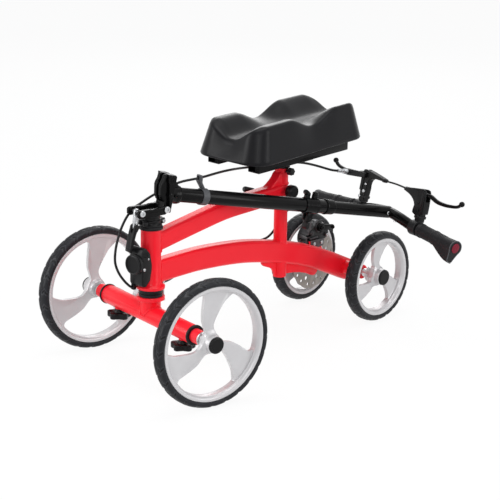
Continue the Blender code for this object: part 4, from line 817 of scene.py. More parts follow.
leverShape = gather(leverShape, rodSolid(0.0025, -0.008, 0.008, "X", 28),
                    *[boxSolid((-0.0080, -0.0172 - 0.0002 + 0.0012 * step, -0.043 + 0.0045 * step),
                               (0.0080, -0.0150 + 0.0012 * step, -0.0413 + 0.0045 * step), 0.0006)
                      for step in range(4)])
addPiece("latchLever", leverShape, mouldedNylon, "latch_cam", leverPlace, ["latch_lever"])
print("scene: steering head made")


# ---- main frame: head tube, lower beam, upper arm, seat tube, rear cross tube, gussets

beam = {
    "width": 0.030, "height": 0.0462, "corner": 0.0085, "armHeight": 0.038,
    "seatRadius": 0.014, "seatLow": 0.1185, "seatHigh": 0.3525, "seatBore": 0.0123,
    "crossRadius": 0.015, "crossHalf": 0.0625, "gussetHalf": 0.003,
}
seatAt, base = placing["seatPlace"], placing["wheelbase"]
beamRoute = smoothRoute([(0.0, 0.004, 0.2128), (0.0, 0.080, 0.2128), (0.0, 0.141, 0.2111),
                         (0.0, 0.260, 0.1986), (0.0, 0.354, 0.1788), (0.0, 0.450, 0.1518),
                         (0.0, 0.516, 0.1257), (0.0, 0.598, 0.0875)], 0.012)
armRoute = smoothRoute([(0.0, 0.010, 0.2730), (0.0, 0.140, 0.2900), (0.0, 0.210, 0.2975),
                        (0.0, 0.290, 0.2990), (0.0, seatAt, 0.3000)], 0.015)
beamSolid = sweptSolid(beamRoute, roundedSection(beam["width"], beam["height"], beam["corner"], 8))
armSolid = sweptSolid(armRoute, roundedSection(beam["width"], beam["armHeight"], beam["corner"],
                                               8))
headSolid = spunSolid([(0.0, head["low"]), (0.0254, head["low"]),
                       (head["flange"], head["low"] + 0.0008), (head["flange"], 0.1862),
                       (0.0268, 0.1876), (0.0225, 0.1898), (head["radius"], 0.1935),
                       (head["radius"], head["high"] - 0.0006),
                       (head["radius"] - 0.0006, head["high"]), (0.0, head["high"])], "Z", 96)
seatTube = spunSolid([(0.0, beam["seatLow"]), (beam["seatRadius"] - 0.0006, beam["seatLow"]),
                      (beam["seatRadius"], beam["seatLow"] + 0.0006),
                      (beam["seatRadius"], beam["seatHigh"] - 0.0005),
                      (beam["seatRadius"] - 0.0005, beam["seatHigh"]), (0.0, beam["seatHigh"])],
                     "Z", 72, (0.0, seatAt, 0.0))
rearTube = rodSolid(beam["crossRadius"], -beam["crossHalf"], beam["crossHalf"], "X", 72,
                    (0.0, base, 0.096), 0.0006)
thick = beam["gussetHalf"]
topGusset = pushedSolid([(0.322, 0.3100), (0.334, 0.3165), (0.346, 0.3225), (0.356, 0.3290),
                         (0.363, 0.3350), (0.367, 0.3410), (0.372, 0.3450), (seatAt, 0.3450),
                         (seatAt, 0.3100)], -0.0105, 0.0105, "X", 0.0030, 4)
frontGusset = pushedSolid([(0.3260, 0.1750), (0.3270, 0.1610), (0.3295, 0.1545), (0.3350, 0.1500),
                           (0.3540, 0.1425), (0.3600, 0.1385), (0.3650, 0.1310),
                           (0.3680, 0.1230), (0.3720, 0.1210),
                           (seatAt, 0.1210), (seatAt, 0.1700)], -thick, thick, "X", 0.0009)
rearGusset = pushedSolid([(seatAt, 0.1600), (seatAt, 0.1200), (0.4040, 0.1195), (0.4223, 0.1176),
                          (0.4480, 0.1125), (0.4712, 0.1048), (0.4830, 0.0985), (0.4911, 0.0959),
                          (0.4990, 0.0968), (0.5040, 0.1018), (0.5100, 0.1200)],
                         -thick, thick, "X", 0.0009)
calliperTab = pushedSolid([(0.572, 0.0980), (0.5960, 0.1000), (0.5800, 0.1440), (0.5450, 0.1460),
                           (0.5480, 0.1340)], -0.0577, -0.0537, "X", 0.0008)
frameShape = joinShapes(beamSolid, headSolid, armSolid, seatTube, rearTube, topGusset,
                        frontGusset, rearGusset, calliperTab)
holes = [rodSolid(head["bore"], 0.17, 0.31, "Z", 64, (0.0, 0.0, 0.0), 0.0),
         rodSolid(beam["seatBore"], beam["seatLow"] + 0.005, 0.36, "Z", 64, (0.0, seatAt, 0.0),
                  0.0),
         rodSolid(0.0063, -0.08, 0.08, "X", 40, (0.0, base, 0.096), 0.0)]
for low, high, height in ((0.008, 0.030, 0.305), (0.008, 0.030, 0.347), (-0.030, -0.008, 0.2875)):
    holes.append(rodSolid(0.0033, low, high, "X", 28, (0.0, seatAt, height), 0.0))
frameShape = cutShapes(frameShape, *holes)

# Weld beads where the tubes meet
def headBead(middle, tall, slope):
    # Round the head tube where a rectangular tube runs into it.
    side, radius = beam["width"] / 2 - 0.0002, head["radius"] + 0.0002
    back = sqrt(radius ** 2 - side ** 2)
    loop = []
    for across, rise in ((-1, 1), (0, 1), (1, 1), (1, 0), (1, -1), (0, -1), (-1, -1), (-1, 0)):
        x = across * side * (0.96 if rise else 1.0)
        y = back if across else radius
        loop.append((x, y, middle + slope * y + rise * tall / 2 * (0.97 if across else 1.0)))
    return weldBead(loop, 0.0018, (0.0, 1.0, 0.0))


def tubeBead(heightAt, radius, bead):
    # Round the seat tube where it stands on, or passes through, a sloping face.
    loop = []
    for step in range(24):
        turn = 2 * pi * step / 24
        x, y = radius * cos(turn), radius * sin(turn)
        loop.append((x, seatAt + y, heightAt(x, y)))
    return weldBead(loop, bead)


beads = [headBead(0.2128, beam["height"], 0.0), headBead(0.2710, beam["armHeight"], 0.12),
         tubeBead(lambda x, y: 0.1706 + 0.0231 - 0.285 * y - 0.0020 * (abs(x) > 0.0120), 0.0142,
                  0.0016),
         tubeBead(lambda x, y: 0.3187 + 0.004 * y - 0.0012 * (abs(x) > 0.0105), 0.0142, 0.0015)]
frameShape = gather(frameShape, *beads)
addPiece("mainFrame", frameShape, redPowderCoat, "frame", walkerPlace, ["main_frame"],
         40.0)
addPiece("frameScrews", gather(
    hexHead(0.0034, 0.0, 0.0030, "Z", (0.0, 0.0295, 0.1885)),
    rodSolid(0.0022, 0.1520, 0.1890, "Z", 24, (0.0, 0.0295, 0.0)),
    spunSolid([(0.0, 0.1500), (0.0040, 0.1500), (0.0040, 0.1545), (0.0, 0.1545)], "Z", 6,
              (0.0, 0.0295, 0.0), 0.0004)), zincSteel, "frame",
    walkerPlace @ Matrix.Rotation(radians(-12.0), 4, "Z"), ())
print("scene: main frame made")


# ---- brake splitter box on the head tube, with its round cover

splitter = {
    "half": 0.017, "front": -0.0415, "low": 0.193, "high": 0.272,
    "coverRadius": 0.0205, "coverDepth": 0.0105, "coverHeight": 0.2385,
}
boxOutline = [(splitter["front"], 0.2000), (splitter["front"] + 0.0030, 0.1945),
              (-0.0350, splitter["low"]), (-0.0290, splitter["low"]), (-0.0185, 0.2030),
              (-0.0135, 0.2270), (-0.0135, 0.2340), (-0.0185, 0.2580), (-0.0290, 0.2700),
              (-0.0340, splitter["high"]), (splitter["front"] + 0.0030, 0.2690),
              (splitter["front"], 0.2620)]
splitterShape = pushedSolid(boxOutline, -splitter["half"], splitter["half"], "X", 0.0022, 3)
splitterShape = joinShapes(splitterShape, boxSolid((-0.0165, -0.0385, 0.1828),
                                                   (-0.0085, -0.0310, 0.196), 0.0012, 3))
grooves = [boxSolid((0.0158, -0.0385, height), (0.0180, -0.0255, height + 0.0014), 0.0)
           for height in (0.2530, 0.2565, 0.2600)]
grooves += [boxSolid((0.0162, -0.0395, height), (0.0180, -0.0385, height + 0.0030), 0.0)
            for height in (0.205, 0.213, 0.221, 0.229, 0.237, 0.245)]
grooves.append(rodSolid(head["radius"] + 0.0003, 0.17, 0.29, "Z", 72, (0.0, 0.0, 0.0), 0.0))
splitterShape = cutShapes(splitterShape, *grooves)
addPiece("brakeSplitterBox", splitterShape, mouldedNylon, "frame", walkerPlace,
         ["brake_splitter_box"])
addPiece("splitterScrews", gather(
    hexHead(0.0032, 0.0168, 0.0190, "X", (0.0, -0.0360, 0.2290)),
    hexHead(0.0020, 0.0168, 0.0180, "X", (0.0, -0.0240, 0.2480))), zincSteel, "frame",
    walkerPlace, ())
depth, wide = splitter["coverDepth"], splitter["coverRadius"]
coverShape = spunSolid([(0.0, 0.0), (wide - 0.0006, 0.0), (wide, 0.0008), (wide, 0.0060),
                        (wide - 0.0014, 0.0066), (wide - 0.0014, 0.0074), (wide - 0.0004, 0.0080),
                        (wide - 0.0012, depth - 0.0008), (wide - 0.0030, depth),
                        (wide - 0.0046, depth - 0.0004), (wide - 0.0052, depth - 0.0016),
                        (0.0, depth - 0.0012)], "Y", 80)
addPiece("splitterCover", coverShape, mouldedNylon, "frame",
         walkerPlace @ Matrix.Translation((0.0, splitter["front"] - 0.0003,
                                           splitter["coverHeight"]))
         @ Matrix.Rotation(pi, 4, "Z"), ["splitter_cover"])


# ---- rear axle, brake disc, calliper and its arm

rear = {"height": 0.096, "radius": 0.006, "reach": 0.117, "spacer": 0.009}
seatLeft, seatRight, start = 0.0795, 0.0774, 0.0628
axleShape = spunSolid([(0.0, -rear["reach"]), (0.0052, -rear["reach"]),
                       (0.006, -rear["reach"] + 0.0008), (0.006, -seatRight),
                       (0.0085, -seatRight), (0.009, -seatRight + 0.0005),
                       (0.009, -start - 0.0005), (0.0085, -start), (0.006, -start),
                       (0.006, start), (0.0085, start), (0.009, start + 0.0005),
                       (0.009, seatLeft - 0.0005), (0.0085, seatLeft), (0.006, seatLeft),
                       (0.006, rear["reach"] - 0.0008), (0.0052, rear["reach"]),
                       (0.0, rear["reach"])], "X", 48, (0.0, base, rear["height"]))
addPiece("rearAxle", axleShape, zincSteel, "frame", walkerPlace, ["rear_axle"])

disc = {"radius": 0.067, "inner": 0.0105, "thick": 0.0018, "place": -0.0765, "holes": 8}
discOutline = lobedOutline(disc["radius"], 16, 0.0016, 192)
discShape = pushedSolid(discOutline, -disc["thick"] / 2, disc["thick"] / 2, "X", 0.0)
discHoles = [rodSolid(disc["inner"], -0.01, 0.01, "X", 48, (0.0, 0.0, 0.0), 0.0)]
for step in range(disc["holes"]):
    for ring, shift, size in ((0.0455, 0.37, 0.0042), (0.0570, 0.37 + 0.28, 0.0034),
                              (0.0570, 0.37 - 0.28, 0.0034)):
        turn = 2 * pi * (step + shift) / disc["holes"]
        discHoles.append(rodSolid(size, -0.01, 0.01, "X", 24,
                                  (0.0, ring * cos(turn), ring * sin(turn)), 0.0))
for step in range(6):
    sweep = [(radius * cos(2 * pi * (step + turn) / 6), radius * sin(2 * pi * (step + turn) / 6))
             for radius, turn in ((0.018, 0.16), (0.018, 0.84), (0.0365, 0.93), (0.0365, 0.28))]
    discHoles.append(pushedSolid(smoothOutline(sweep, 0.002), -0.01, 0.01, "X", 0.0))
discShape = cutShapes(discShape, *discHoles)
discShape = gather(discShape, *[hexHead(0.0028, 0.0009, 0.0030, "X", (
    0.0, 0.0145 * cos(2 * pi * step / 6), 0.0145 * sin(2 * pi * step / 6))) for step in range(6)])
addPiece("brakeDisc", discShape, discSteel, "rear_right_wheel", walkerPlace @ Matrix.Translation(
    (disc["place"], base, rear["height"])), ["brake_disc"])

calliperOutline = smoothOutline([(0.5450, 0.1370), (0.5740, 0.1390), (0.6040, 0.1420),
                                 (0.6130, 0.1540), (0.6040, 0.1670), (0.5960, 0.1760),
                                 (0.5780, 0.1800), (0.5600, 0.1730), (0.5480, 0.1660),
                                 (0.5410, 0.1520)], 0.005)
calliper = pushedSolid(calliperOutline, -0.0865, -0.058, "X", 0.0016, 3)
calliper = cutShapes(
    calliper,
    rodSolid(disc["radius"] + 0.002, disc["place"] - 0.0026, disc["place"] + 0.0026, "X", 96,
             (0.0, base, rear["height"]), 0.0),
    boxSolid((-0.0620, 0.5420, 0.1480), (-0.0500, 0.5660, 0.1520), 0.0),
    boxSolid((-0.0620, 0.5420, 0.1560), (-0.0500, 0.5620, 0.1600), 0.0),
    rodSolid(0.0052, -0.0620, -0.050, "X", 32, (0.0, 0.5430, 0.1760), 0.0))
housingAt = (0.0, 0.5795, 0.1715)
spring = sweptSolid([Vector((-0.0556, housingAt[1] + 0.0158 * cos(radians(angle)),
                             housingAt[2] + 0.0158 * sin(radians(angle))))
                     for angle in range(-70, 131, 10)], roundSection(0.0011, 12), (1.0, 0.0, 0.0))
calliper = gather(calliper, spring,
                  spunSolid([(0.0, -0.0640), (0.0138, -0.0640), (0.0138, -0.0590),
                             (0.0128, -0.0580), (0.0120, -0.0580), (0.0120, -0.0572),
                             (0.0110, -0.0566), (0.0, -0.0566)], "X", 56, housingAt),
                  boxSolid((-0.0660, 0.5480, 0.1640), (-0.0585, 0.5560, 0.1900), 0.0012, 2),
                  pushedSolid([(0.5475, 0.1330), (0.5600, 0.1290), (0.5880, 0.1300),
                               (0.5900, 0.1460), (0.5475, 0.1480)], -0.0536, -0.0504, "X",
                              0.0010, 2),
                  boxSolid((-0.0600, 0.5500, 0.1480), (-0.0560, 0.5760, 0.1520), 0.0008, 2),
                  boxSolid((-0.0600, 0.5480, 0.1400), (-0.0560, 0.5660, 0.1440), 0.0008, 2),
                  rodSolid(0.0046, -0.0600, -0.0545, "X", 32, (0.0, 0.6030, 0.1500), 0.0006),
                  rodSolid(0.0052, -0.0600, -0.0550, "X", 32, (0.0, 0.5560, 0.1620), 0.0006),
                  rodSolid(0.0035, 0.180, 0.1950, "Z", 32, (-0.062, 0.552, 0.0), 0.0005),
                  spunSolid([(0.0, 0.1940), (0.0044, 0.1940), (0.0044, 0.1990), (0.0, 0.1990)],
                            "Z", 6, (-0.062, 0.552, 0.0), 0.0004),
                  rodSolid(0.0028, 0.198, 0.203, "Z", 32, (-0.062, 0.552, 0.0), 0.0004))
addPiece("brakeCalliper", calliper, castCalliperPaint, "frame", walkerPlace, ["brake_caliper"])
addPiece("calliperScrews", gather(
    hexHead(0.0036, -0.0505, -0.0480, "X", (0.0, 0.5560, 0.1400)),
    hexHead(0.0036, -0.0505, -0.0480, "X", (0.0, 0.5800, 0.1390)),
    hexHead(0.0030, -0.0545, -0.0525, "X", (0.0, 0.6030, 0.1500))), zincSteel, "frame",
    walkerPlace, ())
armShape = pushedSolid([(0.0, -0.0065), (0.012, -0.0085), (0.038, -0.0125), (0.0425, -0.0100),
                        (0.0425, -0.0030), (0.038, -0.0005), (0.012, 0.0045), (0.0, 0.0065)],
                       0.0045, 0.0080, "X", 0.0008)
armShape = gather(armShape, rodSolid(0.009, 0.0, 0.0085, "X", 48),
                  hexHead(0.0048, 0.0083, 0.0112, "X"),
                  hexHead(0.0034, 0.0078, 0.0108, "X", (0.0, 0.0375, -0.0065)),
                  rodSolid(0.0008, -0.034, -0.006, "Z", 12, (0.0062, 0.0395, -0.001), 0.0))
addPiece("brakeCalliperArm", armShape, blackEnamel, "caliper_arm", walkerPlace
         @ Matrix.Translation((-0.0577, 0.5795, 0.1715)), ["brake_caliper_arm"])
print("scene: rear brake made")


# ---- folding column: drawn raised, local Y rearward and local Z up the column

column = {
    "offset": placing["columnOffset"], "radius": 0.0145, "wall": 0.0015, "low": 0.0125,
    "high": 0.4065, "plateFront": -0.068, "plateRear": 0.006, "plateTop": 0.010,
    "socketRadius": 0.018, "socketTop": 0.034, "clipPlace": 0.1015, "clipWidth": 0.016,
    "clampLow": 0.350, "clampHigh": 0.384,
}
offset = column["offset"]
lineCentre = (0.0, offset, 0.0)
leanRadians = radians(placing["columnLean"])


def folded(x, y, z):
    # A point of the stored pose, in the turned front frame, seen from the column.
    return storedToColumn @ Vector((x, y, z))


def plateUnderside(back):
    # The face that lies flat on the yoke once the column is raised.
    return (0.0063 + back * sin(leanRadians)) / cos(leanRadians)


front, back = column["plateFront"], column["plateRear"]
plateOutline = [(front, plateUnderside(front)), (-0.049, plateUnderside(-0.049)),
                (back, plateUnderside(back)), (back, column["plateTop"] - 0.0015),
                (back - 0.0015, column["plateTop"]), (front + 0.003, column["plateTop"]),
                (front, column["plateTop"] - 0.003)]
blockShape = pushedSolid(plateOutline, -0.0205, 0.0205, "X", 0.0010, 2)
tongueOutline = ([(-0.040, 0.009), (-0.040, -0.004)] + arcPoints((0.0, 0.0), 0.0055, 250, 360, 14)
                 + [(0.0055, 0.009)])
socket = spunSolid([(0.0, 0.008), (0.0186, 0.008), (0.0186, 0.0105), (0.0180, 0.0120),
                    (0.0180, 0.0240), (0.0186, 0.0248), (0.0186, 0.0300), (0.0180, 0.0308),
                    (0.0178, 0.0334), (0.0172, 0.0340), (0.0, 0.0340)], "Z", 72, lineCentre)
ribs = [pushedSolid([(offset - 0.0150, 0.0095), (offset - 0.0330, 0.0095),
                     (offset - 0.0178, 0.0270), (offset - 0.0150, 0.0270)],
                    side - 0.0016, side + 0.0016, "X", 0.0006) for side in (-0.0085, 0.0085)]
underRibs = []
for low, high in ((-0.0140, -0.0025), (0.0025, 0.0140)):
    underRibs.append(pushedSolid(
        [(-0.0672, 0.0040), (-0.0672, plateUnderside(-0.0672) - 0.0035),
         (-0.0640, plateUnderside(-0.0640) - 0.0060), (-0.0560, plateUnderside(-0.0560) - 0.0085),
         (-0.0500, plateUnderside(-0.0500) - 0.0125), (-0.0440, plateUnderside(-0.0440) - 0.0150),
         (-0.0250, plateUnderside(-0.0250) - 0.0155), (-0.0150, plateUnderside(-0.0150) - 0.0120),
         (-0.0105, plateUnderside(-0.0105) - 0.0060), (-0.0105, 0.0080)],
        low, high, "X", 0.0030, 4))
cheekBosses = [spunSolid([(0.0, 0.0200), (0.0088, 0.0200), (0.0088, 0.0206), (0.0080, 0.0214),
                          (0.0060, 0.0214), (0.0054, 0.0208), (0.0, 0.0208)], "X", 48,
                         (0.0, -0.0575, 0.0006))]
cheekBosses.append(spunSolid([(0.0, 0.0200), (0.0050, 0.0200), (0.0050, 0.0208),
                              (0.0044, 0.0212), (0.0, 0.0212)], "X", 40, (0.0, offset, 0.0040)))
blockShape = joinShapes(blockShape, pushedSolid(tongueOutline, -0.014, 0.014, "X", 0.0006),
                        socket, *(ribs + underRibs + cheekBosses))
blockShape = cutShapes(
    blockShape, rodSolid(column["radius"] + 0.0003, 0.0122, 0.044, "Z", 64, lineCentre, 0.0),
    boxSolid((-0.004, front - 0.01, -0.02), (0.004, -0.0495, 0.02), 0.0),
    boxSolid((0.0152, front - 0.01, -0.0300), (0.0166, -0.0120, 0.0060), 0.0),
    boxSolid((-0.0166, front - 0.01, -0.0300), (-0.0152, -0.0120, 0.0060), 0.0),
    boxSolid((-0.0042, -0.0440, -0.0240), (0.0042, -0.012, -0.0012), 0.0),
    rodSolid(0.0033, -0.03, 0.03, "X", 32, (0.0, 0.0, 0.0), 0.0))
addPiece("foldBlock", blockShape, blackEnamel, "column", foldPlace, ["fold_block"])
addPiece("foldBlockScrews", gather(
    hexHead(0.0036, 0.0183, 0.0206, "X", (0.0, offset, 0.0178)),
    hexHead(0.0036, 0.0204, 0.0219, "X", (0.0, -0.0575, 0.0006))), blackEnamel, "column",
    foldPlace, ())

columnShape = spunSolid([(column["radius"], column["low"]), (column["radius"], column["high"]),
                         (column["radius"] - column["wall"], column["high"]),
                         (column["radius"] - column["wall"], column["low"])], "Z", 96, lineCentre,
                        0.0003)
addPiece("columnTube", columnShape, blackEnamel, "column", foldPlace, ["column_tube"])
collarShape = spunSolid([(0.0148, 0.404), (0.0156, 0.404), (0.0160, 0.4046), (0.0160, 0.4078),
                         (0.0153, 0.4084), (0.0153, 0.4215), (0.0149, 0.4245), (0.0144, 0.426),
                         (0.0130, 0.426), (0.0130, 0.4068), (0.0148, 0.4068)], "Z", 80,
                        lineCentre)
addPiece("columnCollar", collarShape, blackEnamel, "column", foldPlace, ["column_collar"])

# Cable clip: a grey band with a leaning post and the eye that the cable runs through
clipLow, clipHigh = 0.0865, 0.1015
band = spunSolid([(0.0148, clipLow), (0.0163, clipLow), (0.0168, clipLow + 0.0006),
                  (0.0168, clipHigh - 0.0006), (0.0163, clipHigh), (0.0148, clipHigh)], "Z", 72,
                 lineCentre)
eyeBack = offset - 0.0145 - 0.0205 - 0.0015
postTop = offset - 0.0145 - 0.027 - 0.0015
postOutline = [(offset - 0.0153, clipLow + 0.001), (offset - 0.0153, clipLow + 0.0085),
               (eyeBack + 0.0085, 0.0840), (postTop + 0.0015, 0.0820), (postTop, 0.0805),
               (postTop, 0.0755), (postTop + 0.0015, 0.0745), (eyeBack + 0.0070, 0.0750)]
post = pushedSolid(postOutline, -0.006, 0.006, "X", 0.0012, 3)
clipShape = cutShapes(joinShapes(band, post),
                      rodSolid(0.0042, 0.058, 0.098, "Z", 40, (0.0, eyeBack, 0.0), 0.0),
                      boxSolid((-0.0007, offset + 0.0120, clipLow - 0.001),
                               (0.0007, offset + 0.026, clipHigh + 0.001), 0.0))
addPiece("cableClip", clipShape, greyNylon, "column", foldPlace, ["cable_clip"])

# Height clamp: a split band drawn shut by two bolts, with a quick lever on its ears
clampShape = spunSolid([(0.0148, 0.350), (0.0160, 0.350), (0.0165, 0.3506), (0.0165, 0.3545),
                        (0.0160, 0.3552), (0.0160, 0.3788), (0.0165, 0.3795), (0.0165, 0.3834),
                        (0.0160, 0.384), (0.0148, 0.384)], "Z", 80, lineCentre)
lumps = [spunSolid([(0.0, -0.0225), (0.0050, -0.0225), (0.0062, -0.0215), (0.0065, -0.0200),
                    (0.0065, -0.0158), (0.0, -0.0158)], "Y", 48, (0.0, offset, height))
         for height in (0.3555, 0.3755)]
earBack, earMiddle = offset + 0.026, 0.367
earOutline = ([(offset + 0.0158, earMiddle - 0.007), (earBack, earMiddle - 0.007)]
              + arcPoints((earBack, earMiddle), 0.007, -80, 80, 14)
              + [(earBack, earMiddle + 0.007), (offset + 0.0158, earMiddle + 0.007)])
ears = [pushedSolid(earOutline, low, low + 0.0037, "X", 0.0006) for low in (-0.008, 0.0043)]
clampShape = joinShapes(clampShape, *(lumps + ears))
clampShape = cutShapes(clampShape, rodSolid(0.0023, -0.02, 0.02, "X", 28,
                                            (0.0, earBack, earMiddle), 0.0))
addPiece("columnClamp", clampShape, blackEnamel, "column", foldPlace, ["column_clamp"])
button = spunSolid([(0.0, -0.0042), (0.0068, -0.0040), (0.0086, -0.0020), (0.0088, 0.0010),
                    (0.0074, 0.0034), (0.0040, 0.0042), (0.0, 0.0044)], "Y", 56)
button.transform(Matrix.Translation((0.0, offset - 0.0248, 0.3535))
                 @ Matrix.Rotation(radians(-38.0), 4, "X"))
clampNut = spunSolid([(0.0, -0.0292), (0.0040, -0.0290), (0.0058, -0.0278), (0.0062, -0.0262),
                      (0.0056, -0.0250), (0.0062, -0.0240), (0.0062, -0.0222), (0.0, -0.0222)],
                     "Y", 48, (0.0, offset, 0.3755))
addPiece("clampBolts", gather(button, clampNut), blackEnamel, "column", foldPlace, ())
lockPlace = foldPlace @ Matrix.Translation((0.0, earBack, earMiddle))
lockShape = pushedSolid(arcPoints((0.0, 0.0), 0.0042, 90, 270, 14)
                        + [(0.011, -0.004), (0.011, 0.004)], -0.004, 0.004, "X", 0.0006)
paddle = pushedSolid([(0.0085, -0.004), (0.0140, -0.0042), (0.0200, -0.0034), (0.0228, -0.0018),
                      (0.0235, 0.0), (0.0228, 0.0018), (0.0200, 0.0034), (0.0140, 0.0042),
                      (0.0085, 0.004)], -0.008, 0.008, "X", 0.0014, 3)
lockShape = joinShapes(lockShape, paddle)
lockShape = gather(lockShape, rodSolid(0.002, -0.009, 0.009, "X", 28, (0.0, 0.0, 0.0), 0.0004))
addPiece("columnLockLever", lockShape, mouldedNylon, "column_lock", lockPlace,
         ["column_lock_lever"])
print("scene: column made")


# ---- handlebar: local X runs across, Y rearward and Z up the column, from its line

bar = {
    "stemRadius": 0.0127, "stemLow": 0.235, "radius": 0.0111, "end": 0.222,
    "gripRadius": 0.0142, "gripStart": 0.1085, "gripEnd": 0.236,
    "bracketMiddle": 0.0935, "bracketHalf": 0.008, "ringRadius": 0.0158,
}


def onBar(x, y, z):
    point = folded(x, y, z)
    return Vector((point.x, point.y - offset, point.z))


barMiddle = onBar(0.0, 0.5967, 0.242)
halfBar = [onBar(0.042, 0.592, 0.2399), onBar(0.081, 0.592, 0.2324), onBar(0.107, 0.592, 0.2303),
           onBar(bar["end"], 0.5845, 0.2232)]
barPoints = ([Vector((-point.x, point.y, point.z)) for point in reversed(halfBar)]
             + [barMiddle] + halfBar)
stemTop = barMiddle.z
stem = spunSolid([(0.0, stemTop + 0.0040), (0.0095, stemTop + 0.0036), (0.0120, stemTop + 0.0015),
                  (bar["stemRadius"], stemTop - 0.0015), (bar["stemRadius"], bar["stemLow"]),
                  (0.0112, bar["stemLow"]), (0.0112, stemTop - 0.03), (0.0, stemTop - 0.03)],
                 "Z", 80)
crossBar = sweptSolid(smoothRoute(barPoints, 0.006), roundSection(bar["radius"], 48))
barShape = joinShapes(stem, crossBar)
addPiece("handlebar", barShape, blackEnamel, "upper_column", barPlace, ["handlebar"])
addPiece("barBolt", gather(
    hexHead(0.0042, 0.0108, 0.0136, "Y", (0.0265, 0.0 + halfBar[0].y * 0.5, stemTop - 0.001)),
    hexHead(0.0040, 0.0125, 0.0148, "X", (0.0, 0.0, stemTop - 0.012))), zincSteel, "upper_column",
    barPlace, ())

gripAxis = (halfBar[3] - halfBar[2]).normalized()
bracketHeight = onBar(0.0, 0.612, 0.290).z
bracketOutline = [(0.034, -0.0616), (0.053, -0.0649), (0.0785, -0.0687), (0.0944, -0.0703),
                  (0.1005, -0.0690), (0.1035, -0.0640), (0.105, -0.0511), (0.106, -0.0365),
                  (0.1060, -0.0215), (0.1050, -0.0195), (0.1000, -0.0190), (0.0990, -0.0008),
                  (0.0855, -0.0008), (0.083, -0.0131), (0.0775, -0.0150), (0.072, -0.0175),
                  (0.0722, -0.0240), (0.074, -0.0332), (0.0710, -0.0390), (0.066, -0.0440),
                  (0.0600, -0.0480), (0.052, -0.0515), (0.034, -0.0560)]
slimOutline = [(0.034, -0.0616), (0.053, -0.0649), (0.0785, -0.0687), (0.0944, -0.0703),
               (0.1005, -0.0690), (0.1030, -0.0640), (0.1035, -0.0511), (0.1030, -0.0365),
               (0.1010, -0.0189), (0.1005, -0.0008), (0.0860, -0.0008), (0.0845, -0.0131),
               (0.0835, -0.0250), (0.0825, -0.0400), (0.0800, -0.0490), (0.0740, -0.0540),
               (0.0600, -0.0565), (0.034, -0.0570)]
bladePivot = Vector((0.0965, -0.0590, bracketHeight))
bladeLine = [(0.0965, -0.0590), (0.111, -0.0595), (0.1335, -0.0534), (0.1556, -0.0523),
             (0.1742, -0.0537), (0.1957, -0.0577), (0.206, -0.0645)]
flareOutline = [(0.038, 0.0040), (0.050, 0.0095), (0.060, 0.0135), (0.070, 0.0178),
                (0.082, 0.0228), (0.094, 0.0275), (0.106, 0.0310), (0.118, 0.0325),
                (0.140, 0.0325), (0.140, -0.0060), (0.100, -0.0060), (0.060, -0.0040)]
palmTurn = -16.0  # degrees, how far the palm rest is turned forward about the grip
adjusterPlace, adjusterSeat, adjusterLong = (-0.146, -0.0528), 0.5705, 0.026
reachOutline = [(-0.088, -0.0640), (-0.140, -0.0600), (-0.150, -0.0597), (-0.153, -0.0575),
                (-0.153, -0.0485), (-0.150, -0.0462), (-0.140, -0.0465), (-0.101, -0.0510),
                (-0.088, -0.0530)]


def flipped(points, side):
    return [(side * first, second) for first, second in points]


